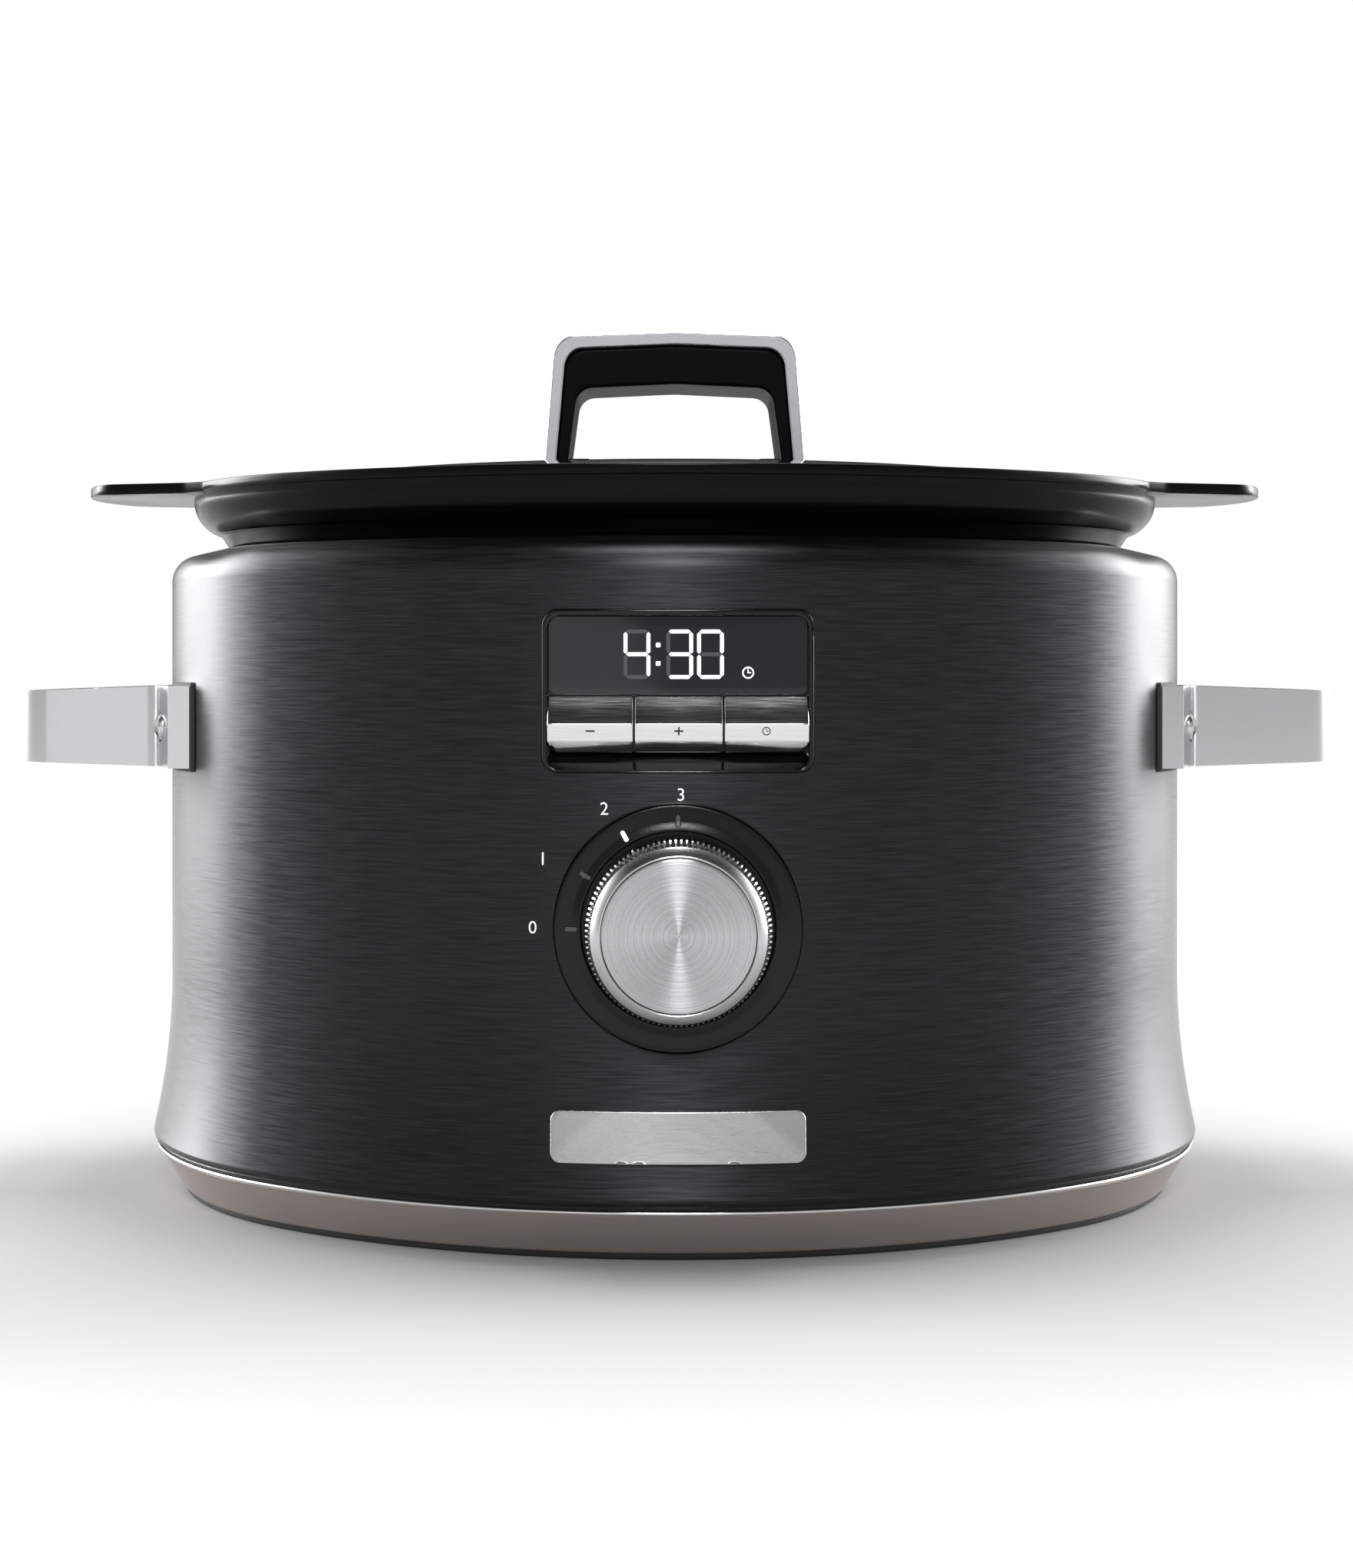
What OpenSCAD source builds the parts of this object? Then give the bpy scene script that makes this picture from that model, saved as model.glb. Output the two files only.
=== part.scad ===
// Oval digital slow cooker: heated housing, lift-out pot and lift-off lid.
// Millimetres, +Z up, origin on the surface it stands on, below the middle of the oval.
// The front, with the controls, faces -Y.

/* [Body] */
// Width of the straight part of the housing
body_w = 340; // [330:1:350]
// Depth of the straight part of the housing
body_d = 262; // [258:1:266]
// Height of the housing's top rim
body_top = 212.5; // [211:0.5:214]
// Thickness of the housing's sheet steel
sheet = 1.2; // [1:0.1:1.4]
// How far the housing flares out at its lower edge
flare_out = 5.9; // [5:0.1:6.5]
// Height at which the flare starts
flare_top = 72; // [66:1:76]

/* [Base] */
// Height of the black foot ring
foot_h = 3; // [2.5:0.1:3.4]
// Height of the joint between base band and trim ring
band_top = 14.6; // [14:0.1:14.8]
// Height of the housing's lower edge
body_bottom = 17; // [16.8:0.1:17.4]

/* [Pot and lid] */
// Height of the pot's rim
rim_top = 233.3; // [232:0.1:234]
// Height of the pot's underside
pot_bottom = 36; // [35:0.5:38]
// Distance from the middle to the tip of a pot grip
grip_reach = 198.4; // [196:0.1:202]
// Front to back size of a pot grip
grip_d = 72; // [66:1:76]
// Top of the lid's flat middle
lid_top = 241; // [240:0.5:242]
// Top of the lid handle
handle_top = 285.5; // [283:0.5:288]

/* [Controls] */
// Width of the control panel
panel_w = 79.8; // [78:0.1:81]
// Height of the control panel
panel_h = 47.8; // [47:0.1:48.4]
// Height of the panel's middle above the table
panel_z = 166.3; // [165.8:0.1:166.8]
// Height of the dial's middle above the table
dial_z = 97.1; // [95:0.1:99]
// Radius of the ring round the dial
dial_r = 36.1; // [35:0.1:37]
// Radius of the knob over its knurling
knob_r = 27; // [26:0.1:27.4]

/* [Side handles] */
// Distance from the middle to the outside of a side handle
side_reach = 217.5; // [214:0.5:220]
// Height of the handle's middle above the table
side_z = 153.8; // [150:0.1:156]

/* [Hidden] */
$fn = 96;
eps = 0.01;

// The plan outline is an oval of four tangent arcs: two end arcs and two flatter front and back arcs.
// The arcs meet on lines through their centres, laid out on a 3-4-5 triangle.
half_w = body_w / 2;
half_d = body_d / 2;
oval_unit = (half_w - half_d) / 2;
end_cx = 3 * oval_unit;
front_cy = 4 * oval_unit;
end_r = half_w - end_cx;
front_r = half_d + front_cy;
wedge_x = 4 * end_cx;
wedge_y = 3 * front_cy;
far = 500;

// Housing section, measured outward from the oval and up from the table
fillet_r = 8.5;
crown_angle = 14;
flare_bottom = 19.4;
flare_drop = flare_top - flare_bottom;
flare_r = (flare_drop * flare_drop + flare_out * flare_out) / (2 * flare_out);
mouth = -17.8;
inside = -40;
fillet_z = body_top - (-fillet_r + fillet_r * sin(crown_angle) - mouth) * tan(crown_angle)
  - fillet_r * cos(crown_angle);

// Pot section
pot_wall = 2.6;
neck = -19.2;
neck_low = -21.5;
pot_corner = 18;
pot_floor = 3.5;
flange = -6;
flange_t = 3.3;
step_z = 217.3;

// Liner section
liner_wall = 0.8;
liner_in = -17.6;
liner_top = 205.5;
liner_floor = 30;
liner_corner = 14;

// Lid section: a shallow dome that ends in a flat middle
lid_edge = -14;
lid_flat = -100;
dome_r = 286;
glass_t = 4;
ledge_z = 222.8;

// Panel
panel_face = -126.5;
panel_front = half_d + 0.6;
panel_corner = 4.9;
window_w = 75.9;
window_top = 188.2;
button_top = 165;
button_low = 148.4;
button_travel = 1.2;
button_edges = [-38.2, -12.9, 13.3, 38.2];
button_gap = 0.45;
board_y = -120.4;
board_t = 1.6;
board_low = 145;
module_low = 168.5;
module_top = 185.5;
digit_h = 14.4;
digit_w = 7.8;
digit_z = 177;
digit_x = [-12, 0.5, 9.5];
stroke = 1.1;
digit_proud = 0.15;

// Dial and knob
dial_hole = dial_r + 0.5;
dial_edge_y = -130.8;
dial_crest_y = -132.6;
dial_crest_r = 30;
well_r = 28.2;
dial_back_y = -125.8;
tick_r = 31.2;
tick_angles = [180, 150, 120, 90];
knob_rear = -133.2;
knurl_rear = -139.2;
knurl_front = -148.6;
chamfer_r = 25.3;
face_r = 22.1;
face_y = -151.4;
shaft_r = 3;
encoder_board_y = -119;
encoder_board_t = 1.5;
encoder_board_top = dial_z + 34;

// Side handles
leg_y = 38;
strap_t = 8;
strap_h_out = 22.8;
strap_h_in = 26.6;
foot_t = 6;
foot_d = 18;
foot_y = 47.5;
gasket_t = 1;
side_screw_r = 2.5;
nut_x = 149.4;

// Handle on the lid
lid_handle_d = 38;
strap_leg = 3.9;
strap_top = 4.4;
grip_leg = 4;
grip_top = 13;
leg_bottom = 43.7;
leg_top = 40.3;
handle_corner = 7.7;
handle_crown = 1.5;
lid_screw_x = 33.5;
vent_x = 30;
vent_y = 53;
grip_foot_h = 2.7;

plate_t = 1.3;
plate_z = 37;
plate_studs = [-28, 28];
gland_z = 44;
board_top = 10;
fuse_x = 60;
gland_bore = 3.6;
base_screw_x = 105;
base_screw_y = 70;

// ---- shared shapes ----

// Points of an arc from angle a0 to a1
function arc(c, r, a0, a1, n = 6) =
  [for (i = [0:n]) c + r * [cos(a0 + (a1 - a0) * i / n), sin(a0 + (a1 - a0) * i / n)]];

function unit(v) = v / norm(v);

// Points of one rounded corner at p, between the points before and after it
function round_corner(before, p, after, r, n) =
  let (
    u = unit(before - p),
    v = unit(after - p),
    half = acos(u * v) / 2,
    c = p + unit(u + v) * r / sin(half),
    reach = r / tan(half),
    s = p + u * reach - c,
    e = p + v * reach - c,
    a0 = atan2(s[1], s[0]),
    turn = atan2(s[0] * e[1] - s[1] * e[0], s * e)
  )
  [for (i = [0:n]) c + r * [cos(a0 + turn * i / n), sin(a0 + turn * i / n)]];

// Outline with every corner i rounded to radii[i]; a radius of 0 keeps the corner
function rounded(pts, radii, n = 6) =
  [for (i = [0:len(pts) - 1])
    let (before = pts[(i + len(pts) - 1) % len(pts)], after = pts[(i + 1) % len(pts)])
    each radii[i] == 0 ? [pts[i]] : round_corner(before, pts[i], after, radii[i], n)];

// Sweeps a section along one end of the oval: x is the distance outward from the oval, y is the height
module end_ring(side) {
  intersection() {
    translate([side * end_cx, 0]) rotate_extrude() translate([end_r, 0]) children();
    translate([0, 0, -far]) linear_extrude(2 * far) polygon([
      [side * end_cx, 0], [side * wedge_x, -wedge_y], [side * far, -wedge_y],
      [side * far, wedge_y], [side * wedge_x, wedge_y]
    ]);
  }
}

// The same along the oval's front, side = -1, or its back, side = 1
module flat_ring(side) {
  intersection() {
    translate([0, -side * front_cy]) rotate_extrude() translate([front_r, 0]) children();
    translate([0, 0, -far]) linear_extrude(2 * far)
      polygon([[0, -side * front_cy], [wedge_x, side * wedge_y], [-wedge_x, side * wedge_y]]);
  }
}

module oval_ring() {
  for (side = [-1, 1]) {
    end_ring(side) children();
    flat_ring(side) children();
  }
}

// The oval itself, grown outward by grow
module oval(grow) {
  reach = end_cx + 0.6 * (end_r + grow);
  intersection() {
    translate([0, front_cy]) circle(r = front_r + grow);
    translate([0, -front_cy]) circle(r = front_r + grow);
    square([2 * reach, 2 * (half_d + grow) + 2], center = true);
  }
  for (side = [-1, 1]) translate([side * end_cx, 0]) circle(r = end_r + grow);
}

module oval_slab(grow, low, high) {
  translate([0, 0, low]) linear_extrude(high - low) oval(grow);
}

// Turns a drawing in X and Z into a solid between two Y values
module along_y(y0, y1) {
  translate([0, y1, 0]) rotate([90, 0, 0]) linear_extrude(y1 - y0) children();
}

// Turns a section drawn as radius and distance in front of Y = 0 about the dial's axis
module dial_turn() {
  translate([0, 0, dial_z]) rotate([90, 0, 0]) rotate_extrude() children();
}

module rod_y(x, z, r, y0, y1) {
  translate([x, y1, z]) rotate([90, 0, 0]) cylinder(r = r, h = y1 - y0);
}

module rod_x(y, z, r, x0, x1) {
  translate([x0, y, z]) rotate([0, 90, 0]) cylinder(r = r, h = x1 - x0);
}

module block(low, high) {
  translate(low) cube(high - low);
}

module rounded_box_2d(w, h, r) {
  square([w - 2 * r, h], center = true);
  square([w, h - 2 * r], center = true);
  for (x = [-1, 1], y = [-1, 1])
    translate([x * (w / 2 - r), y * (h / 2 - r)]) circle(r = r);
}

// How far the flare stands out from the oval at height z
function flare_at(z) = flare_r - sqrt(flare_r * flare_r - (flare_top - z) * (flare_top - z));

// ---- housing ----

// Section of the sheet steel: hem, flare, straight wall, rounded shoulder and sloping top
module housing_wall_section() {
  flare_c = [flare_r, flare_top];
  fillet_c = [-fillet_r, fillet_z];
  inner_r = fillet_r - sheet;
  hem_angle = asin((flare_top - body_bottom - sheet) / (flare_r + sheet));
  outer_shoulder = fillet_c + fillet_r * [sin(crown_angle), cos(crown_angle)];
  inner_shoulder = fillet_c + inner_r * [sin(crown_angle), cos(crown_angle)];
  polygon(concat(
    [[-3, body_bottom], [4.8, body_bottom], [5.5, body_bottom + 0.7]],
    arc(flare_c, flare_r, 180 + asin(flare_drop / flare_r), 180, 8),
    arc(fillet_c, fillet_r, 0, 90 - crown_angle, 8),
    [[mouth, outer_shoulder[1] + (outer_shoulder[0] - mouth) * tan(crown_angle)],
     [mouth, inner_shoulder[1] + (inner_shoulder[0] - mouth) * tan(crown_angle)]],
    arc(fillet_c, inner_r, 90 - crown_angle, 0, 8),
    arc(flare_c, flare_r + sheet, 180, 180 + hem_angle, 8),
    [[-3, body_bottom + sheet]]
  ));
}

// The housing is four pressed panels, welded edge to edge
module housing_front() {
  color("dimgray")
  difference() {
    flat_ring(-1) housing_wall_section();
    along_y(-half_d - 5, -half_d + 20)
      translate([0, panel_z]) rounded_box_2d(panel_w + 0.2, panel_h + 0.2, panel_corner + 0.1);
    rod_y(0, dial_z, dial_hole, -half_d - 5, -half_d + 20);
    for (x = plate_studs) rod_y(x, plate_z, 1.1, -half_d - 8, -half_d + 6);
  }
}

module housing_back() {
  color("dimgray")
  difference() {
    flat_ring(1) housing_wall_section();
    rod_y(0, gland_z, 8, half_d - 20, half_d + 10);
  }
}

module housing_end(side) {
  color("dimgray")
  difference() {
    end_ring(side) housing_wall_section();
    for (y = [-foot_y, foot_y]) rod_x(y, side_z, side_screw_r + 0.2, -half_w - 5, half_w + 5);
  }
}

module housing_left() { housing_end(-1); }
module housing_right() { housing_end(1); }

// Sheet edge seal between the housing and the bright trim ring
module trim_gasket() {
  color("black")
  oval_ring() translate([-6, 16]) square([9.6, body_bottom - 16]);
}

module trim_ring() {
  color("silver")
  oval_ring() {
    translate([-6, band_top]) square([10.4, 16 - band_top]);
    translate([4.4, (band_top + 16) / 2]) circle(r = (16 - band_top) / 2);
  }
}

module base_band() {
  color("rosybrown")
  oval_ring() polygon([
    [-3.2, foot_h], [-2.4, foot_h + 0.6], [3.2, band_top - 1.6], [4.2, band_top],
    [-1, band_top], [-6.5, foot_h + 2], [-6.5, foot_h]
  ]);
}

module foot_ring() {
  color("black")
  oval_ring() polygon([[-10, 0], [-4, 0], [-3.4, 0.6], [-3.4, foot_h], [-10, foot_h]]);
}

module base_plate() {
  color("black")
  difference() {
    oval_slab(-7, foot_h, foot_h + 2.4);
    for (row = [-4:4], side = [-1, 1])
      translate([side * 55, row * 11, 0])
        linear_extrude(20) {
          square([44, 4], center = true);
          for (end = [-22, 22]) translate([end, 0]) circle(r = 2);
        }
    for (x = [-base_screw_x, base_screw_x], y = [-base_screw_y, base_screw_y])
      translate([x, y, 0]) cylinder(r = 2.3, h = 20);
  }
}

module base_screws() {
  color("silver")
  for (x = [-base_screw_x, base_screw_x], y = [-base_screw_y, base_screw_y])
    difference() {
      translate([x, y, 0]) union() {
        translate([0, 0, 0.8]) cylinder(r = 4.2, h = foot_h - 0.8);
        cylinder(r = 2.2, h = 11);
      }
      translate([x, y, -1]) cylinder(r = 5, h = 1.8);
      for (turn = [0, 90]) translate([x, y, 0.8]) rotate(turn) cube([4.4, 0.9, 2], center = true);
    }
}

// ---- heating well ----

module upper_collar() {
  color("black")
  oval_ring() polygon([
    [mouth, body_top - 1.35], [-9, body_top - 3.5], [-9, liner_top], [mouth, liner_top]
  ]);
}

module liner_section() {
  outer = liner_in + liner_wall;
  corner = [outer - liner_corner, liner_floor + liner_corner];
  polygon(concat(
    [[inside, liner_floor]],
    arc(corner, liner_corner, -90, 0),
    [[outer, liner_top - liner_wall], [-9, liner_top - liner_wall], [-9, liner_top], [liner_in, liner_top]],
    arc(corner, liner_corner - liner_wall, 0, -90),
    [[inside, liner_floor + liner_wall]]
  ));
}

module inner_liner() {
  color("lightgray") {
    oval_ring() liner_section();
    difference() {
      oval_slab(inside + 1, liner_floor, liner_floor + liner_wall);
      translate([0, 0, liner_floor - 1]) cylinder(r = 9, h = 4);
    }
  }
}

module pot_rest_pads() {
  color("white")
  for (x = [-75, 75], y = [-45, 45])
    translate([x, y, liner_floor + liner_wall]) cylinder(r = 7, h = pot_bottom - liner_floor - liner_wall);
}

module heater_band() {
  color("tan")
  oval_ring() translate([liner_in + liner_wall, 56]) square([1.2, 60]);
}

// Lead terminals riveted to the heater band at the back
module heater_terminals() {
  color("silver")
  for (x = [-14, 14])
    block([x - 4, half_d + liner_in + 2.0, 62], [x + 4, half_d + liner_in + 6, 74]);
}

module insulation_jacket() {
  color("gold")
  difference() {
    oval_ring() translate([liner_in + 3, 58]) square([6, 132]);
    // Room for the controls in front and the heater's leads behind
    block([-52, -half_d, 50], [52, -60, 200]);
    block([-24, 60, 50], [24, half_d, 90]);
    // Room for the nuts behind the side handles
    for (x = [-1, 1], y = [-1, 1])
      block(
        [min(x * 120, x * 175), y * foot_y - 14, side_z - 14],
        [max(x * 120, x * 175), y * foot_y + 14, side_z + 14]
      );
  }
}

// Bright plate that keeps heat off the power board
module heat_shield() {
  color("lightgray")
  difference() {
    oval_slab(-34, 26, 26.8);
    translate([0, 0, 20]) cylinder(r = 12, h = 10);
  }
}

// Spring-loaded disc that feels the pot's underside
module temperature_sensor() {
  color("silver") {
    translate([0, 0, liner_floor + 1]) cylinder(r = 7.5, h = pot_bottom - liner_floor - 1.2);
    translate([0, 0, 22]) cylinder(r = 5.5, h = liner_floor - 20.9);
  }
}

module thermal_fuse() {
  color("white")
  translate([fuse_x, 20, liner_floor - 1.6]) rotate([0, 90, 0]) cylinder(r = 1.5, h = 14);
}

// ---- control panel ----

module panel_outline() {
  translate([0, panel_z]) rounded_box_2d(panel_w, panel_h, panel_corner);
}

module window_outline() {
  low = button_top + 0.3;
  r = 4;
  translate([-window_w / 2, low]) square([window_w, window_top - low - r]);
  translate([-window_w / 2 + r, low]) square([window_w - 2 * r, window_top - low]);
  for (side = [-1, 1]) translate([side * (window_w / 2 - r), window_top - r]) circle(r = r);
}

// Outline of the three buttons together, grown by grow
module buttons_outline(grow) {
  low = button_low - grow;
  w = button_edges[3] - button_edges[0] + 2 * grow;
  r = 3.2 + grow;
  translate([-w / 2 + r, low]) square([w - 2 * r, button_top - low + grow]);
  translate([-w / 2, low + r]) square([w, button_top - low - r + grow]);
  for (side = [-1, 1]) translate([side * (w / 2 - r), low + r]) circle(r = r);
}

module control_bezel() {
  lip_low = panel_z - panel_h / 2 + 1.2;
  color("black")
  difference() {
    intersection() {
      oval_slab(0.6, panel_z - panel_h, panel_z + panel_h);
      along_y(-half_d - 5, board_y) panel_outline();
    }
    along_y(-half_d - 5, -124.4) window_outline();
    along_y(-half_d - 5, -110) buttons_outline(0.3);
    block([-31, -130, module_low - 1], [31, -110, module_top + 1]);
    // The lower lip slopes up from the front to the buttons
    translate([-window_w / 2 + 0.2, 0, 0]) rotate([90, 0, 90]) linear_extrude(window_w - 0.4)
      polygon([
        [panel_face, button_low + 1], [panel_face, button_low - 0.4],
        [-panel_front - 1, lip_low - 0.8], [-panel_front - 1, button_low + 1]
      ]);
  }
}

module display_window() {
  color("darkslategray")
  difference() {
    along_y(panel_face, -124.5) window_outline();
    digit_shapes(0.05, panel_face - 1, panel_face + 0.4);
  }
}

// Which of the segments A to G are lit in each digit, for a reading of 4:30
function lit_segments(place) =
  place == 0 ? [1, 2, 5, 6] :
  place == 1 ? [0, 1, 2, 3, 6] :
  [0, 1, 2, 3, 4, 5];

// One segment bar with pointed ends, length l, centred
module bar(l, grow) {
  w = stroke / 2 + grow;
  polygon([
    [-l / 2 - grow, 0], [-l / 2 + w, w], [l / 2 - w, w],
    [l / 2 + grow, 0], [l / 2 - w, -w], [-l / 2 + w, -w]
  ]);
}

module segment(index, grow) {
  across = digit_w - stroke;
  half = (digit_h - stroke) / 2;
  gap = 0.35;
  if (index == 0) translate([0, half]) bar(across - gap, grow);
  if (index == 1) translate([across / 2, half / 2]) rotate(90) bar(half - gap, grow);
  if (index == 2) translate([across / 2, -half / 2]) rotate(90) bar(half - gap, grow);
  if (index == 3) translate([0, -half]) bar(across - gap, grow);
  if (index == 4) translate([-across / 2, -half / 2]) rotate(90) bar(half - gap, grow);
  if (index == 5) translate([-across / 2, half / 2]) rotate(90) bar(half - gap, grow);
  if (index == 6) bar(across - gap, grow);
}

module digit_shapes(grow, y0, y1) {
  along_y(y0, y1) {
    for (place = [0:2])
      translate([digit_x[place], digit_z])
        for (index = lit_segments(place)) segment(index, grow);
    for (dz = [-2.7, 2.7])
      translate([-5.8, digit_z + dz]) square(1.2 + 2 * grow, center = true);
  }
}

// Lit strokes of the clock display, set into the window
module display_digits() {
  color("white") digit_shapes(0, panel_face - digit_proud, panel_face + 0.4);
}

module display_module() {
  color("dimgray") block([-30, -124.4, module_low], [30, board_y, module_top]);
}

module display_board() {
  color("green") block([-37.5, board_y, board_low], [37.5, board_y + board_t, board_low + 43]);
}

function button_middle(i) = (button_edges[i] + button_edges[i + 1]) / 2;

module tact_switches() {
  color("black")
  for (i = [0:2]) {
    x = button_middle(i);
    block([x - 3, board_y - 1.5, 153.5], [x + 3, board_y, 159.5]);
    rod_y(x, 156.5, 1.5, board_y - 2.1, board_y - 1.5 + eps);
  }
}

// Section of a button, in Y and Z: scooped above, a brow across the middle and a bevel below
function button_section() = concat(
  [[-125.2, button_low], [-128.9, button_low], [-130.4, 152.2]],
  arc([-129.4, 154.9], 1.1, 188, 120, 4),
  arc([-131.6, 160.6], 4.5, -70, 0, 6),
  [[-127.1, button_top - 0.3], [-126.8, button_top], [-125.2, button_top]]
);

module button(i) {
  left = button_edges[i] + (i == 0 ? 0 : button_gap / 2);
  right = button_edges[i + 1] - (i == 2 ? 0 : button_gap / 2);
  intersection() {
    translate([left, 0, 0]) rotate([90, 0, 90]) linear_extrude(right - left) polygon(button_section());
    along_y(-half_d - 5, -120) buttons_outline(0);
  }
  rod_y(button_middle(i), 156.5, 2.5, -125.2 - eps, board_y - 2.2 - button_travel);
}

module button_minus() { color("silver") button(0); }
module button_plus() { color("silver") button(1); }
module button_cancel() { color("silver") button(2); }

// ---- dial ----

module tick_shape(grow, y0, y1) {
  for (a = tick_angles)
    translate([0, 0, dial_z]) rotate([0, -a, 0]) translate([tick_r, 0, 0])
      along_y(y0, y1) {
        square([2.2, 1.3 + 2 * grow], center = true);
        for (end = [-1.1, 1.1]) translate([end, 0]) circle(r = 0.65 + grow);
      }
}

module dial_ring() {
  color("black")
  difference() {
    dial_turn() polygon(concat(
      [[well_r, -dial_back_y], [dial_r, -dial_back_y], [dial_r, -dial_edge_y - 0.4],
       [dial_r - 0.4, -dial_edge_y]],
      [for (t = [0.25:0.25:0.75])
        [dial_r - 0.4 + (dial_crest_r - dial_r + 0.4) * t,
         -dial_edge_y - (dial_crest_y - dial_edge_y) * sin(90 * t)]],
      [[dial_crest_r, -dial_crest_y], [well_r + 0.5, -dial_crest_y - 0.3], [well_r, -dial_crest_y - 0.9]]
    ));
    tick_shape(0.05, -half_d - 5, -128);
  }
  color("black")
  difference() {
    dial_turn() translate([3.6, 125.8]) square([well_r - 3.6 + eps, 2]);
    tick_shape(0.05, -half_d - 5, -128);
  }
}

// Tick inserts in the dial ring, one for each setting
module dial_ticks() {
  color("white") tick_shape(0, -132, -128);
}

// Small lamps behind the tick inserts
module tick_lamps() {
  color("khaki")
  for (a = tick_angles)
    translate([0, 0, dial_z]) rotate([0, -a, 0])
      block([tick_r - 1.5, -124.5, -1.2], [tick_r + 1.5, encoder_board_y, 1.2]);
}

module rotary_encoder() {
  color("silver") block([-6.5, -125.2, dial_z - 6.5], [6.5, encoder_board_y, dial_z + 6.5]);
}

module encoder_board() {
  color("green")
  block([-34, encoder_board_y, dial_z - 16], [34, encoder_board_y + encoder_board_t, encoder_board_top]);
}

module knob_body() {
  teeth = 80;
  color("darkgray")
  difference() {
    dial_turn() polygon([
      [0, 127.9], [shaft_r - eps, 127.9], [shaft_r, -knob_rear],
      [25.8, -knob_rear], [25.8, -knurl_rear - 0.5],
      [knob_r, -knurl_rear], [knob_r, -knurl_rear + 1], [25.8, -knurl_front],
      [chamfer_r, -knurl_front + 0.2], [face_r + 0.2, -face_y - 0.3], [face_r - 0.6, -face_y - 0.3],
      [face_r - 0.6, -face_y - 1.6], [0, -face_y - 1.6]
    ]);
    for (i = [0:teeth - 1])
      translate([0, 0, dial_z]) rotate([0, i * 360 / teeth, 0])
        translate([knob_r + 0.25, knurl_front - 1, 0]) rotate([-90, 45, 0])
          linear_extrude(knurl_rear - knurl_front + 3) square(0.9, center = true);
  }
}

// Spun metal disc let into the knob's front
module knob_cap() {
  color("silver")
  dial_turn() polygon([
    [0, -face_y - 1.6], [face_r - 0.65, -face_y - 1.6], [face_r - 0.65, -face_y - 0.2],
    [face_r - 0.9, -face_y], [0, -face_y]
  ]);
}

// ---- electronics in the base ----

module power_board() {
  color("green") block([-70, -45, board_top - board_t], [40, 45, board_top]);
}

module power_relay() {
  color("black") block([-60, 10, board_top], [-32, 25, 24]);
}

module transformer() {
  color("goldenrod") {
    block([-20, -36, board_top], [10, -8, 24]);
    for (y = [-40, -8]) block([-14, y, board_top + 2], [4, y + 4, 21]);
  }
}

module terminal_block() {
  color("green")
  difference() {
    block([10, 22, board_top], [34, 40, 21]);
    for (i = [0:2]) translate([14 + i * 8, 31, 16]) cylinder(r = 2, h = 10);
  }
}

// Flat cable from the display board to the top edge of the encoder board
module ribbon_cable() {
  back = board_y + board_t;
  color("gray") block([12, back, encoder_board_top], [26, back + 0.6, board_low + 5]);
}

// Bush in the rear wall for the supply cord
module cord_gland() {
  color("black")
  difference() {
    union() {
      rod_y(0, gland_z, 7.9, half_d - 8, half_d + 4);
      rod_y(0, gland_z, 10.5, half_d + 3, half_d + 6.5);
      rod_y(0, gland_z, 10, half_d - 9, half_d - 3.5);
    }
    rod_y(0, gland_z, gland_bore, half_d - 20, half_d + 20);
  }
}

// Blank badge on the lower front
module name_plate() {
  w = 74.4;
  h = 15.1;
  color("silver") {
    intersection() {
      along_y(-half_d - 8, -half_d + 3) translate([0, plate_z]) rounded_box_2d(w, h, 2.9);
      translate([0, front_cy]) rotate_extrude() polygon([
        [front_r + flare_at(plate_z - 10), plate_z - 10],
        [front_r + flare_at(plate_z - 10) + plate_t, plate_z - 10],
        [front_r + flare_at(plate_z + 10) + plate_t, plate_z + 10],
        [front_r + flare_at(plate_z + 10), plate_z + 10]
      ]);
    }
    for (x = plate_studs) rod_y(x, plate_z, 1, -half_d - 3, -half_d + 2);
  }
}

// ---- side handles ----

// Side view limit of a side handle: it is taller where it meets the body
module side_profile() {
  top = strap_h_in / 2;
  tip = strap_h_out / 2;
  polygon(rounded(
    [[140, -top], [166, -top], [side_reach, -tip], [side_reach, tip], [166, top], [140, top]],
    [0, 0, 3, 3, 0, 0]
  ));
}

module side_plan() {
  outer = leg_y + strap_t / 2;
  inner = leg_y - strap_t / 2;
  difference() {
    polygon(rounded(
      [[140, -outer], [side_reach, -outer], [side_reach, outer], [140, outer]], [0, 13, 13, 0], 8));
    polygon(rounded(
      [[130, -inner], [side_reach - strap_t, -inner], [side_reach - strap_t, inner], [130, inner]],
      [0, 7, 7, 0], 8));
  }
}

module side_handle() {
  difference() {
    intersection() {
      union() {
        translate([0, 0, -20]) linear_extrude(40) side_plan();
        // Feet that lie against the housing and carry the screws
        for (side = [-1, 1])
          intersection() {
            translate([0, 0, -20]) linear_extrude(40) oval(gasket_t + foot_t);
            block(
              [140, side * foot_y - foot_d / 2, -strap_h_in / 2],
              [200, side * foot_y + foot_d / 2, strap_h_in / 2]
            );
          }
      }
      rotate([90, 0, 0]) translate([0, 0, -80]) linear_extrude(160) side_profile();
    }
    translate([0, 0, -20]) linear_extrude(40) oval(gasket_t);
    for (side = [-1, 1]) {
      rod_x(side * foot_y, 0, side_screw_r, 140, 175);
      rod_x(side * foot_y, 0, 5, 164.6, 174);
    }
  }
}

module side_handle_right() {
  color("silver") translate([0, 0, side_z]) side_handle();
}

module side_handle_left() {
  color("silver") translate([0, 0, side_z]) rotate(180) side_handle();
}

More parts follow.
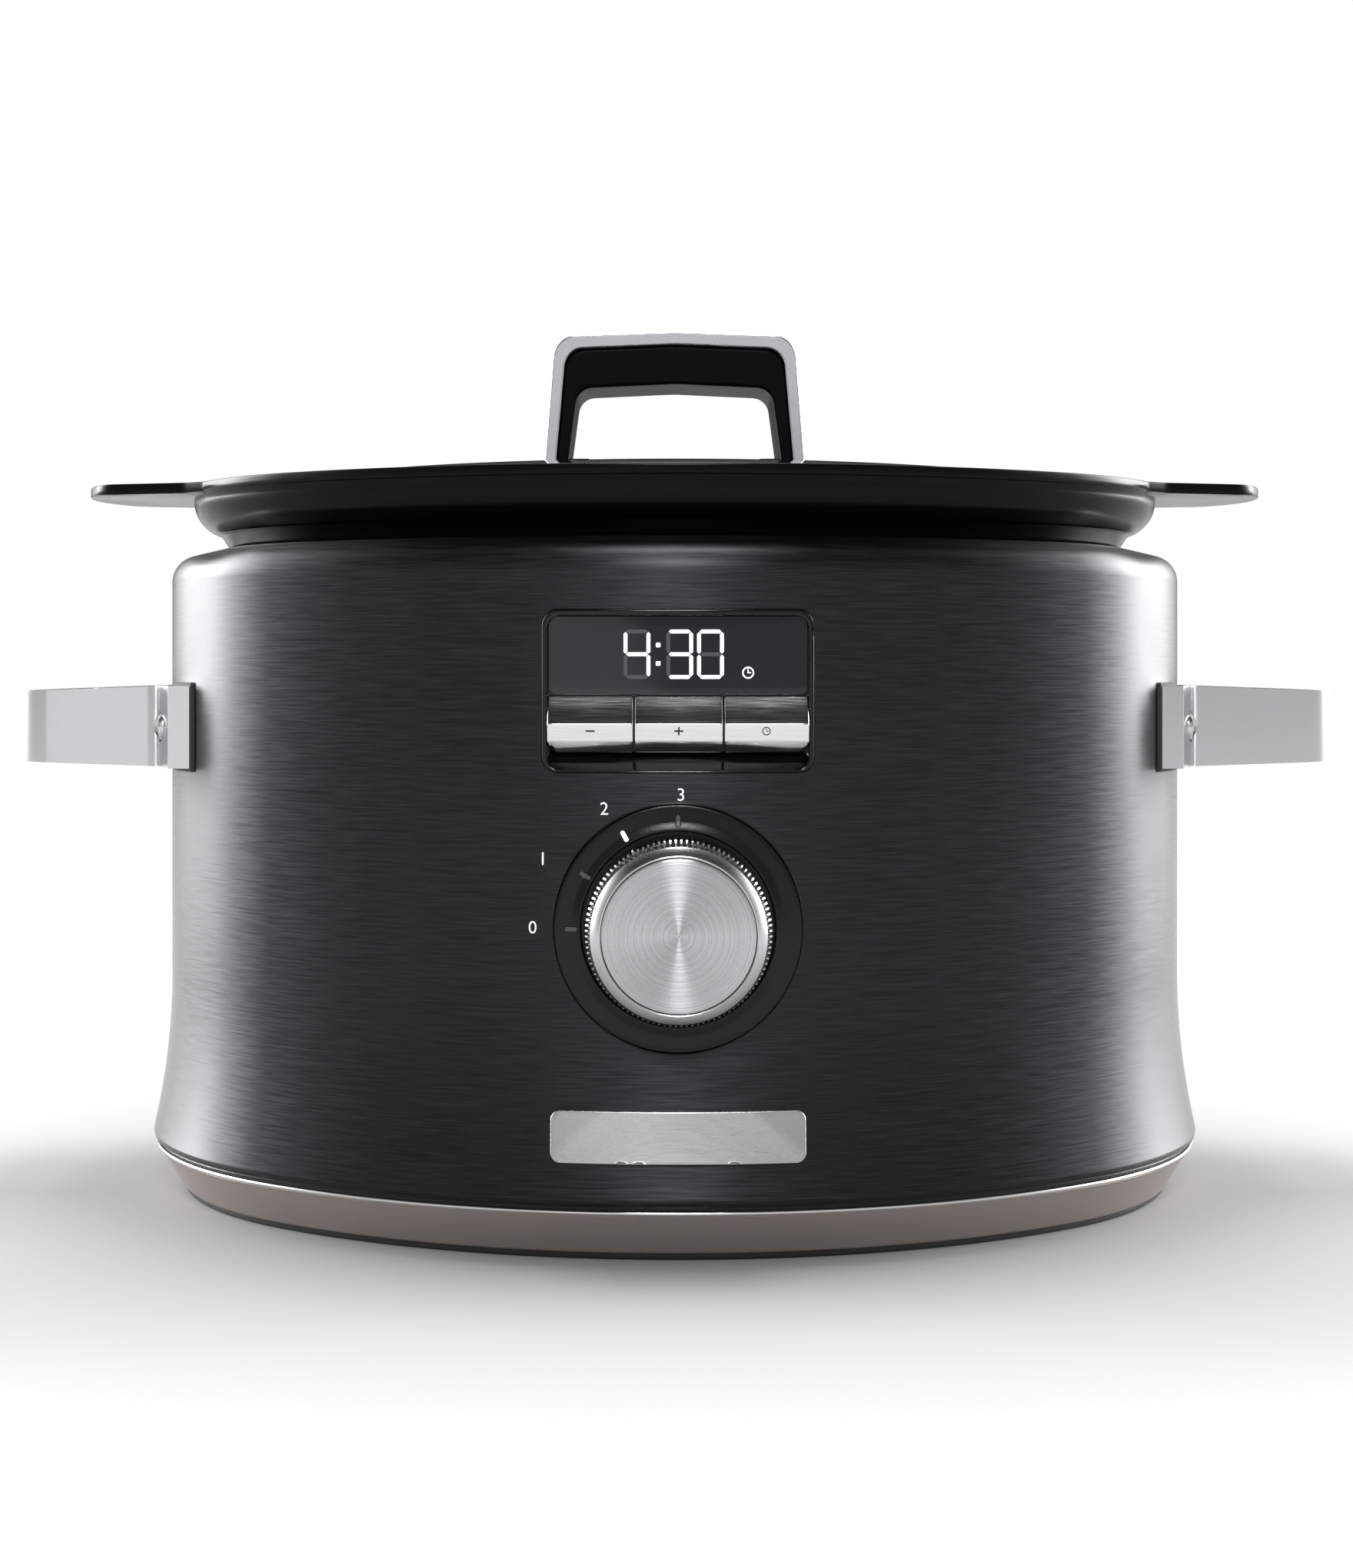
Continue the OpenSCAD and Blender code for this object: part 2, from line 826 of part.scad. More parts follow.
module foot_blocks(grow, low, high) {
  for (x = [-1, 1], y = [-1, 1])
    intersection() {
      difference() {
        oval_slab(high, side_z - 20, side_z + 20);
        oval_slab(low, side_z - 21, side_z + 21);
        rod_x(y * foot_y, side_z, side_screw_r, -half_w - 20, half_w + 20);
      }
      block(
        [min(x * 140, x * 200), y * foot_y - foot_d / 2 - grow, side_z - strap_h_in / 2 - grow],
        [max(x * 140, x * 200), y * foot_y + foot_d / 2 + grow, side_z + strap_h_in / 2 + grow]
      );
    }
}

module handle_gaskets() {
  color("black") foot_blocks(1, 0, gasket_t);
}

// Stiffening plates inside the wall, behind the handle feet
module handle_brackets() {
  color("lightgray") foot_blocks(-1.5, -sheet - 2.2, -sheet);
}

// Screws from the feet through the wall, each with its nut inside
module handle_screws() {
  color("silver")
  for (turn = [0, 180], y = [-foot_y, foot_y])
    rotate(turn) {
      rod_x(y, side_z, 4.6, 164.7, 167);
      rod_x(y, side_z, side_screw_r - 0.05, nut_x - 0.5, 164.7 + eps);
      translate([nut_x, y, side_z]) rotate([0, 90, 0]) cylinder(r = 4.6, h = 3.5, $fn = 6);
    }
}

// ---- pot ----

module pot_section() {
  outer_arc = arc([-19.4, 228.6], 12.2, -70, 0, 7);
  inner_low = [neck_low - pot_wall, pot_bottom + pot_corner];
  floor_z = pot_bottom + pot_floor;
  polygon(concat(
    [[inside, pot_bottom]],
    arc([neck_low - pot_corner, pot_bottom + pot_corner], pot_corner, -90, 0, 8),
    [[neck - 1, 200], [neck, body_top], [-16.2, step_z - 0.3], [-15.4, step_z - 0.3]],
    outer_arc,
    [[flange, rim_top - flange_t], [flange, rim_top - 0.6], [flange - 0.6, rim_top],
     [-8.4, rim_top], [-9.2, rim_top - 0.8], [-10.6, 225], [-11.6, ledge_z], [-17.4, ledge_z],
     [-20.2, 220.4], [neck - 1 - pot_wall, body_top - 6]],
    arc([neck_low - pot_corner, floor_z + pot_corner - pot_wall], pot_corner - pot_wall, 0, -90, 8),
    [[inside, floor_z]]
  ));
}

module pot() {
  color("black") {
    oval_ring() pot_section();
    oval_slab(inside + 1, pot_bottom, pot_bottom + pot_floor);
    for (side = [0, 180])
      rotate(side) difference() {
        translate([0, 0, rim_top - flange_t - 0.2]) linear_extrude(flange_t + 0.1) polygon(rounded(
          [[150, -grip_d / 2 - 6], [158, -grip_d / 2 - 5], [grip_reach - 8.8, -grip_d / 2 + 4],
           [grip_reach + 6.8, 0], [grip_reach - 8.8, grip_d / 2 - 4], [158, grip_d / 2 + 5],
           [150, grip_d / 2 + 6]],
          [0, 0, 12, 60, 12, 0, 0], 8));
        oval_slab(-8.6, rim_top - 10, rim_top + 10);
      }
  }
}

// ---- lid ----

module dome_section() {
  intersection() {
    difference() {
      translate([lid_flat, lid_top - dome_r]) circle(r = dome_r);
      translate([lid_flat, lid_top - dome_r]) circle(r = dome_r - glass_t);
    }
    translate([lid_flat, lid_top - 40]) square([lid_edge - lid_flat, 60]);
  }
}

module lid_glass() {
  color([0.5, 0.55, 0.55, 0.5])
  difference() {
    union() {
      oval_ring() dome_section();
      oval_slab(lid_flat + eps, lid_top - glass_t, lid_top);
    }
    for (x = [-lid_screw_x, lid_screw_x]) translate([x, 0, 200]) cylinder(r = 3, h = 60);
    translate([vent_x, vent_y, 200]) cylinder(r = 4, h = 60);
  }
}

module lid_rim() {
  color("silver")
  oval_ring() difference() {
    polygon([[-18, ledge_z], [-13.4, ledge_z], [-12.9, ledge_z + 0.5], [-12.9, 228.4], [-13.4, 229],
      [-18, 230.2]]);
    dome_section();
  }
}

// Arch seen from the front, k inside its outer face; top_k is the same at its crown
module arch(k, top_k, low) {
  top = handle_top - top_k;
  side_top = top - handle_crown;
  slope = (leg_bottom - leg_top) / 36;
  foot = leg_bottom - k + (lid_top - low) * slope;
  corner = leg_top - k;
  polygon(rounded(
    [[-foot, low], [foot, low], [corner, side_top], [0, top], [-corner, side_top]],
    [0, 0, handle_corner - k / 4, 60, handle_corner - k / 4], 8));
}

module lid_handle() {
  color("silver")
  along_y(-lid_handle_d / 2, lid_handle_d / 2) difference() {
    arch(0, 0, lid_top);
    arch(strap_leg, strap_top, lid_top - 5);
  }
}

module lid_grip() {
  depth = lid_handle_d - 2;
  color("black")
  difference() {
    union() {
      along_y(-depth / 2, depth / 2) difference() {
        arch(strap_leg, strap_top, lid_top);
        arch(strap_leg + grip_leg, strap_top + grip_top, lid_top - 5);
      }
      for (side = [-1, 1])
        block([min(side * 28, side * 37), -9, lid_top], [max(side * 28, side * 37), 9, lid_top + grip_foot_h]);
    }
    for (x = [-lid_screw_x, lid_screw_x]) translate([x, 0, lid_top - 1]) cylinder(r = 2, h = grip_foot_h + 0.4);
  }
}

module lid_screws() {
  color("silver")
  for (x = [-lid_screw_x, lid_screw_x])
    translate([x, 0, lid_top - glass_t - 3.2]) {
      cylinder(r = 4, h = 2.2);
      cylinder(r = 1.95, h = 9.2);
    }
}

module lid_washers() {
  color("white")
  for (x = [-lid_screw_x, lid_screw_x])
    difference() {
      translate([x, 0, lid_top - glass_t - 1]) cylinder(r = 6, h = 1);
      translate([x, 0, lid_top - glass_t - 2]) cylinder(r = 2.1, h = 4);
    }
}

// Steam vent: a lined hole through the glass
module vent_grommet() {
  color("silver")
  difference() {
    union() {
      translate([vent_x, vent_y, lid_top - 6.5]) cylinder(r = 3.95, h = 6.5);
      translate([vent_x, vent_y, lid_top - 0.6]) cylinder(r = 6, h = 1.6);
    }
    translate([vent_x, vent_y, lid_top - 10]) cylinder(r = 2.6, h = 20);
  }
}

housing_front();
housing_back();
housing_left();
housing_right();
trim_gasket();
trim_ring();
base_band();
foot_ring();
base_plate();
base_screws();
upper_collar();
inner_liner();
pot_rest_pads();
heater_band();
heater_terminals();
insulation_jacket();
heat_shield();
temperature_sensor();
thermal_fuse();
control_bezel();
display_window();
display_digits();
display_module();
display_board();
tact_switches();
button_minus();
button_plus();
button_cancel();
dial_ring();
dial_ticks();
tick_lamps();
rotary_encoder();
encoder_board();
knob_body();
knob_cap();
power_board();
power_relay();
transformer();
terminal_block();
ribbon_cable();
cord_gland();
name_plate();
side_handle_left();
side_handle_right();
handle_gaskets();
handle_brackets();
handle_screws();
pot();
lid_glass();
lid_rim();
lid_handle();
lid_grip();
lid_screws();
lid_washers();
vent_grommet();
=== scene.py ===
import math

import bmesh
import bpy
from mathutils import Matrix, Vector
from mathutils.geometry import delaunay_2d_cdt


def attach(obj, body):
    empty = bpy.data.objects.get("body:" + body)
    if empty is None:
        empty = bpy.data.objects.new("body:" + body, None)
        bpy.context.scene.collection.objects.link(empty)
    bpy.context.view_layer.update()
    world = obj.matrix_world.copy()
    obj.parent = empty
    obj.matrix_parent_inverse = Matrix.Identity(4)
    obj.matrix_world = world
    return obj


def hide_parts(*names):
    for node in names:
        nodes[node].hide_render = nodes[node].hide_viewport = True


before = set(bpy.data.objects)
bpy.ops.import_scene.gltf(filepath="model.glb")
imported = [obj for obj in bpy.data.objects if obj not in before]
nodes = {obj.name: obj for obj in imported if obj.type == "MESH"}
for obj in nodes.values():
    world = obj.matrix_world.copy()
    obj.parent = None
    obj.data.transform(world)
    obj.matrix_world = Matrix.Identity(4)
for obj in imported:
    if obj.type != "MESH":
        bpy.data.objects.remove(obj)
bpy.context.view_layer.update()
scene = bpy.context.scene

# ---- dimensions in millimetres, as in the CAD ----

MM = 0.001
HALF_W = 170.0
HALF_D = 131.0
OVAL_UNIT = (HALF_W - HALF_D) / 2
END_CX = 3 * OVAL_UNIT
FRONT_CY = 4 * OVAL_UNIT
END_R = HALF_W - END_CX
FRONT_R = HALF_D + FRONT_CY
JOIN = math.degrees(math.atan2(4, 3))

BODY_TOP = 212.5
BODY_BOTTOM = 17.0
SHEET = 1.2
FLARE_TOP = 72.0
FLARE_R = 237.4
FILLET_R = 8.5
CROWN = 14.0
MOUTH = -17.8

RIM_TOP = 233.3
POT_BOTTOM = 36.0
LID_TOP = 241.0
LID_FLAT = -100.0
DOME_R = 286.0
GLASS_T = 4.0
HANDLE_TOP = 285.5

PANEL_W = 79.8
PANEL_H = 47.8
PANEL_Z = 166.3
PANEL_R = 4.9
POCKET_Y = -126.5
WINDOW_W = 75.9
WINDOW_TOP = 188.2
BUTTON_TOP = 165.0
BUTTON_LOW = 148.4
BUTTON_EDGES = (-38.2, -12.9, 13.3, 38.2)

DIAL_Z = 97.1
DIAL_R = 36.1
TICK_R = 31.2
CAP_FRONT = 151.4

SIDE_Z = 153.8
SIDE_REACH = 217.5


# ---- mesh helpers: everything is drawn in millimetres ----

def arc(cx, cy, r, a0, a1, n=8):
    """Points of an arc, angles in degrees."""
    out = []
    for i in range(n + 1):
        a = math.radians(a0 + (a1 - a0) * i / n)
        out.append((cx + r * math.cos(a), cy + r * math.sin(a)))
    return out


def rounded(points, n=6, closed=True):
    """An outline whose (x, y, r) corners are rounded; r = 0 keeps the corner."""
    out = []
    count = len(points)
    for i, (x, y, r) in enumerate(points):
        p = Vector((x, y))
        if r <= 0 or (not closed and i in (0, count - 1)):
            out.append((x, y))
            continue
        before = Vector(points[i - 1][:2]) - p
        after = Vector(points[(i + 1) % count][:2]) - p
        before.normalize()
        after.normalize()
        half = before.angle(after) / 2
        c = p + (before + after).normalized() * (r / math.sin(half))
        s = p + before * (r / math.tan(half)) - c
        e = p + after * (r / math.tan(half)) - c
        a0 = math.atan2(s.y, s.x)
        turn = math.atan2(s.x * e.y - s.y * e.x, s.dot(e))
        for k in range(n + 1):
            a = a0 + turn * k / n
            out.append((c.x + r * math.cos(a), c.y + r * math.sin(a)))
    return out


def plan_samples(extra=0):
    """(centre x, centre y, radius, angle) round the oval; extra adds points at the two ends."""
    out = []
    arcs = (
        (END_CX, 0, END_R, -JOIN, JOIN, 64 + extra),
        (0, -FRONT_CY, FRONT_R, JOIN, 180 - JOIN, 60),
        (-END_CX, 0, END_R, 180 - JOIN, 180 + JOIN, 64 + extra),
        (0, FRONT_CY, FRONT_R, 180 + JOIN, 360 - JOIN, 60),
    )
    for cx, cy, r, a0, a1, n in arcs:
        for i in range(n):
            out.append((cx, cy, r, math.radians(a0 + (a1 - a0) * i / n)))
    return out


PLAN = plan_samples()


def on_plan(s, grow):
    return (s[0] + (s[2] + grow) * math.cos(s[3]), s[1] + (s[2] + grow) * math.sin(s[3]))


def locate(x, y):
    """Distance outward from the oval, and the oval's outward direction there."""
    ax, ay = abs(x), abs(y)
    if 3 * ay <= 4 * (ax - END_CX):
        v, r = Vector((ax - END_CX, ay)), END_R
    else:
        v, r = Vector((ax, ay + FRONT_CY)), FRONT_R
    grow = v.length - r
    v.normalize()
    return grow, Vector((math.copysign(v.x, x), math.copysign(v.y, y)))


def front_y(x, grow=0.0):
    """Y of the oval's front, grown outward, at x."""
    return FRONT_CY - math.sqrt((FRONT_R + grow) ** 2 - x * x)


def flare_at(z):
    if z >= FLARE_TOP:
        return 0.0
    return FLARE_R - math.sqrt(FLARE_R ** 2 - (FLARE_TOP - z) ** 2)


def add(name, data):
    obj = bpy.data.objects.new(name, data)
    scene.collection.objects.link(obj)
    return obj


def tidy_mesh(mesh, sharp=32.0):
    bm = bmesh.new()
    bm.from_mesh(mesh)
    bmesh.ops.remove_doubles(bm, verts=bm.verts, dist=2e-6)
    bmesh.ops.dissolve_degenerate(bm, edges=bm.edges, dist=1e-7)
    bmesh.ops.recalc_face_normals(bm, faces=bm.faces)
    limit = math.radians(sharp)
    for f in bm.faces:
        f.smooth = True
    for e in bm.edges:
        e.smooth = len(e.link_faces) != 2 or e.calc_face_angle(0) < limit
    bm.to_mesh(mesh)
    bm.free()


def solid(name, verts, faces, sharp=32.0):
    mesh = bpy.data.meshes.new(name)
    mesh.from_pydata([Vector(v) * MM for v in verts], [], faces)
    tidy_mesh(mesh, sharp)
    return add(name, mesh)


def grid_faces(rows, cols, wrap_rows=True, wrap_cols=True):
    out = []
    for i in range(rows if wrap_rows else rows - 1):
        for j in range(cols if wrap_cols else cols - 1):
            i2, j2 = (i + 1) % rows, (j + 1) % cols
            out.append((i * cols + j, i * cols + j2, i2 * cols + j2, i2 * cols + j))
    return out


def sweep(name, section, plan=PLAN, closed=True, sharp=32.0):
    """A section of (distance outward, height), or a function that gives one, swept round the oval."""
    verts = []
    for s in plan:
        points = section(s) if callable(section) else section
        for grow, z in points:
            verts.append((*on_plan(s, grow), z))
    cols = len(points)
    faces = grid_faces(len(plan), cols, True, closed)
    if not closed:
        for j in (0, cols - 1):
            faces.append(tuple(i * cols + j for i in range(len(plan))))
    return solid(name, verts, faces, sharp)


def turn(name, section, centre, axis, n=96, closed=False, sharp=32.0, shape=None):
    """A section of (radius, distance along the axis) turned about an axis: X, Y, Z or their negatives."""
    along = Vector(axis)
    side = Vector((0, 0, 1)) if abs(along.z) < 0.5 else Vector((1, 0, 0))
    up = along.cross(side)
    verts = []
    for i in range(n):
        a = 2 * math.pi * i / n
        out = side * math.cos(a) + up * math.sin(a)
        for j, (r, t) in enumerate(section):
            r = r if shape is None else shape(i, j, r)
            verts.append(tuple(Vector(centre) + out * r + along * t))
    faces = grid_faces(n, len(section), True, closed)
    return solid(name, verts, faces, sharp)


def rrect(cx, cz, w, h, r, inset=0.0, n=8, step=2.5):
    """Outline of a rounded rectangle, shrunk by inset, with points along its sides too."""
    w, h, r = w - 2 * inset, h - 2 * inset, max(r - inset, 0.05)
    hw, hh = w / 2 - r, h / 2 - r
    nx, nz = max(2, int(2 * hw / step)), max(2, int(2 * hh / step))
    out = []
    corners = ((hw, hh, 0), (-hw, hh, 90), (-hw, -hh, 180), (hw, -hh, 270))
    for k, (x, z, a0) in enumerate(corners):
        out += arc(cx + x, cz + z, r, a0, a0 + 90, n)
        x2, z2, a2 = corners[(k + 1) % 4]
        start = Vector(out[-1])
        a = math.radians(a2)
        end = Vector((cx + x2 + r * math.cos(a), cz + z2 + r * math.sin(a)))
        m = nx if k % 2 == 0 else nz
        out += [tuple(start.lerp(end, i / m)) for i in range(1, m)]
    return out


def inside(p, loop):
    hit = False
    x, y = p
    for i, (x1, y1) in enumerate(loop):
        x0, y0 = loop[i - 1]
        if (y0 > y) != (y1 > y) and x < (x1 - x0) * (y - y0) / (y1 - y0) + x0:
            hit = not hit
    return hit


def fill(outer, holes, step=3.0):
    """Triangles between closed outlines, with grid points inside so that the sheet can bend."""
    coords, edges = [], []
    for loop in [outer, *holes]:
        base = len(coords)
        coords += [Vector(p) for p in loop]
        edges += [(base + i, base + (i + 1) % len(loop)) for i in range(len(loop))]
    xs = [p[0] for p in outer]
    ys = [p[1] for p in outer]
    edge_points = [c.copy() for c in coords]
    x = min(xs) + step / 2
    while x < max(xs):
        y = min(ys) + step / 2
        while y < max(ys):
            p = Vector((x, y))
            if inside((x, y), outer) and not any(inside((x, y), h) for h in holes):
                if min((p - q).length_squared for q in edge_points) > (0.45 * step) ** 2:
                    coords.append(p)
            y += step
        x += step
    verts, _, faces, *_ = delaunay_2d_cdt(coords, edges, [], 0, 1e-5)
    kept = []
    for f in faces:
        c = sum((verts[i] for i in f), Vector((0, 0))) / len(f)
        if inside(c, outer) and not any(inside(c, h) for h in holes):
            kept.append(tuple(f))
    return [tuple(v) for v in verts], kept


def plate(name, outer, holes, front, back, soft, n=4, step=3.0):
    """A plate seen from the front. outer and holes are functions of the inset that give outlines in X and Z;
    front and back give Y at a point, and soft is how far the front edges are rounded."""
    verts, faces = [], []

    def add_ring(loop, drop):
        base = len(verts)
        verts.extend((x, front(x, z) + drop, z) for x, z in loop)
        return base

    rings0 = []
    for side, outline in [(1, outer)] + [(-1, h) for h in holes]:
        bases = []
        for k in range(n + 1):
            a = math.pi / 2 * k / n
            loop = outline(side * soft * (1 - math.sin(a)))
            bases.append(add_ring(loop, soft * (1 - math.cos(a))))
            if k == 0:
                rings0.append(loop)
        loop = outline(0)
        base = len(verts)
        verts.extend((x, back(x, z), z) for x, z in loop)
        bases.append(base)
        m = len(loop)
        for b0, b1 in zip(bases, bases[1:]):
            for i in range(m):
                faces.append((b0 + i, b0 + (i + 1) % m, b1 + (i + 1) % m, b1 + i))
    flat, tris = fill(rings0[0], rings0[1:], step)
    base = len(verts)
    verts.extend((x, front(x, z), z) for x, z in flat)
    faces += [tuple(base + i for i in f) for f in tris]
    flat, tris = fill(outer(0), [h(0) for h in holes], step)
    base = len(verts)
    verts.extend((x, back(x, z), z) for x, z in flat)
    faces += [tuple(base + i for i in reversed(f)) for f in tris]
    obj = solid(name, verts, faces)
    weigh(obj)
    return obj


def weigh(obj):
    mod = obj.modifiers.new("weighted", "WEIGHTED_NORMAL")
    mod.keep_sharp = True
    mod.weight = 50


def bevel(obj, width, segments, angle):
    mod = obj.modifiers.new("soft_edges", "BEVEL")
    mod.width = width * MM
    mod.segments = segments
    mod.limit_method = "ANGLE"
    mod.angle_limit = math.radians(angle)


def soften(obj, width, segments=3, angle=35.0):
    bevel(obj, width, segments, angle)
    weigh(obj)


def apply_modifiers(obj):
    dg = bpy.context.evaluated_depsgraph_get()
    mesh = bpy.data.meshes.new_from_object(obj.evaluated_get(dg), depsgraph=dg)
    obj.modifiers.clear()
    obj.data = mesh
    mesh.name = obj.name


def cut(obj, cutters):
    for c in cutters:
        mod = obj.modifiers.new("cut", "BOOLEAN")
        mod.operation = "DIFFERENCE"
        mod.solver = "EXACT"
        mod.object = c
    apply_modifiers(obj)
    for c in cutters:
        bpy.data.objects.remove(c)


def tube(name, stations, sharp):
    """A closed bar through stations, each a loop of four points."""
    end = 4 * len(stations)
    faces = grid_faces(len(stations), 4, False) + [(0, 1, 2, 3), (end - 4, end - 3, end - 2, end - 1)]
    return solid(name, [point for loop in stations for point in loop], faces, sharp)


def slab(name, near, far):
    """A solid between two loops with the same number of points."""
    m = len(near)
    faces = [tuple(range(m)), tuple(range(2 * m - 1, m - 1, -1))]
    faces += [(i, (i + 1) % m, m + (i + 1) % m, m + i) for i in range(m)]
    return solid(name, near + far, faces)


def prism_y(name, loop, y0, y1):
    """A solid between two Y values on an outline in X and Z."""
    return slab(name, [(x, y0, z) for x, z in loop], [(x, y1, z) for x, z in loop])


def join(name, objs):
    """One object out of several, kept as separate shells."""
    bm = bmesh.new()
    for o in objs:
        bm.from_mesh(o.data)
        bpy.data.objects.remove(o)
    mesh = bpy.data.meshes.new(name)
    bm.to_mesh(mesh)
    bm.free()
    return add(name, mesh)


def place(obj, body, slot, *replaced, look=None):
    """Ties a piece to its body, slot and CAD nodes. Its material is the slot's own, or look."""
    obj.data.materials.clear()
    obj.data.materials.append(M[look or slot])
    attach(obj, body)
    if replaced:
        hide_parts(*replaced)


# ---- materials ----

class Paint:
    """A node material: the Principled shader plus small helpers that drive its sockets."""

    def __init__(self, name, colour, rough, metallic=0.0):
        self.mat = bpy.data.materials.new(name)
        self.mat.use_nodes = True
        self.tree = self.mat.node_tree
        self.shader = self.tree.nodes["Principled BSDF"]
        self.colour = colour
        self.rough = rough
        self.shader.inputs["Metallic"].default_value = metallic
        self.heights = []
        self.rough_parts = []
        self.tints = []

    def node(self, kind):
        return self.tree.nodes.new(kind)

    def link(self, a, b):
        self.tree.links.new(a, b)

    def place(self, stretch=(1, 1, 1)):
        coords = self.node("ShaderNodeTexCoord")
        mapping = self.node("ShaderNodeMapping")
        mapping.inputs["Scale"].default_value = stretch
        self.link(coords.outputs["Object"], mapping.inputs["Vector"])
        return mapping.outputs["Vector"]

    def noise(self, scale, stretch=(1, 1, 1), detail=3.0, vector=None):
        n = self.node("ShaderNodeTexNoise")
        n.inputs["Scale"].default_value = scale
        n.inputs["Detail"].default_value = detail
        self.link(vector or self.place(stretch), n.inputs["Vector"])
        return n.outputs["Fac"]

    def math(self, operation, a, b):
        n = self.node("ShaderNodeMath")
        n.operation = operation
        for socket, value in zip(n.inputs, (a, b)):
            if isinstance(value, (int, float)):
                socket.default_value = value
            else:
                self.link(value, socket)
        return n.outputs[0]

    def vector_math(self, operation, a, b=None):
        n = self.node("ShaderNodeVectorMath")
        n.operation = operation
        self.link(a, n.inputs[0])
        if b:
            n.inputs[1].default_value = b
        return n.outputs["Value" if operation == "LENGTH" else "Vector"]

    def spread(self, fac, low, high, to_low, to_high):
        n = self.node("ShaderNodeMapRange")
        self.link(fac, n.inputs["Value"])
        n.inputs["From Min"].default_value = low
        n.inputs["From Max"].default_value = high
        n.inputs["To Min"].default_value = to_low
        n.inputs["To Max"].default_value = to_high
        return n.outputs["Result"]

    def vary(self, fac, rough=0.0, tint=0.0, bump=0.0):
        """Lets a 0 to 1 pattern change roughness, brightness and height (in mm)."""
        if rough:
            self.rough_parts.append(self.spread(fac, 0.3, 0.7, -rough, rough))
        if tint:
            self.tints.append(self.spread(fac, 0.3, 0.7, 1 - tint, 1 + tint))
        if bump:
            self.heights.append((fac, bump))

    def anisotropic(self, amount, axis="Z"):
        t = self.node("ShaderNodeTangent")
        t.direction_type = "RADIAL"
        t.axis = axis
        self.link(t.outputs["Tangent"], self.shader.inputs["Tangent"])
        self.shader.inputs["Anisotropic"].default_value = amount
        self.shader.inputs["Anisotropic Rotation"].default_value = 0.25

    def done(self, **sockets):
        s = self.shader.inputs
        for key, value in sockets.items():
            s[key.replace("_", " ")].default_value = value
        s["Base Color"].default_value = (*self.colour, 1)
        s["Roughness"].default_value = self.rough
        if self.rough_parts:
            total = self.rough
            for part in self.rough_parts:
                total = self.math("ADD", part, total)
            clamp = self.node("ShaderNodeClamp")
            self.link(total, clamp.inputs["Value"])
            clamp.inputs["Min"].default_value = 0.02
            self.link(clamp.outputs[0], s["Roughness"])
        if self.tints:
            total = self.tints[0]
            for part in self.tints[1:]:
                total = self.math("MULTIPLY", total, part)
            scaled = self.node("ShaderNodeVectorMath")
            scaled.operation = "SCALE"
            scaled.inputs[0].default_value = self.colour
            self.link(total, scaled.inputs["Scale"])
            self.link(scaled.outputs[0], s["Base Color"])
        normal = None
        for fac, depth in self.heights:
            b = self.node("ShaderNodeBump")
            b.inputs["Strength"].default_value = 1.0
            b.inputs["Distance"].default_value = depth * MM
            self.link(fac, b.inputs["Height"])
            if normal:
                self.link(normal, b.inputs["Normal"])
            normal = b.outputs["Normal"]
        if normal:
            self.link(normal, s["Normal"])
        return self.mat


def brushed(name, colour, rough, stretch, fine, tint, depth, aniso):
    """Metal with a fine grain along one direction."""
    p = Paint(name, colour, rough, 1.0)
    grain = p.noise(fine, stretch, 4.0)
    p.vary(grain, 0.05, tint, depth)
    p.vary(p.noise(9.0), 0.03, 0.03)
    p.anisotropic(aniso)
    return p.done()


def plastic(name, colour, rough, fine=1500.0, depth=0.01, tint=0.06, spread=0.04, **sockets):
    """Moulded plastic or rubber with a fine texture and slow changes in gloss."""
    p = Paint(name, colour, rough)
    p.vary(p.noise(fine), spread, tint, depth)
    p.vary(p.noise(25.0), spread * 0.6, tint * 0.5)
    return p.done(**sockets)


def spun(name, colour, rough, centre_z, pitch, depth, tint):
    """Metal turned on a lathe about the dial's axis: rings and a fan of light."""
    p = Paint(name, colour, rough, 1.0)
    coords = p.node("ShaderNodeTexCoord")
    from_axis = p.vector_math("SUBTRACT", coords.outputs["Object"], (0, 0, centre_z * MM))
    radius = p.vector_math("LENGTH", p.vector_math("MULTIPLY", from_axis, (1, 0, 1)))
    lift = p.node("ShaderNodeCombineXYZ")
    p.link(radius, lift.inputs["X"])
    rings = p.noise(pitch, detail=5.0, vector=lift.outputs[0])
    p.vary(rings, 0.05, tint, depth)
    p.anisotropic(0.96, "Y")
    return p.done()


ALONG_WALL = (0.03, 0.03, 1.0)
ALONG_X = (0.02, 1.0, 1.0)
EVEN = (1, 1, 1)

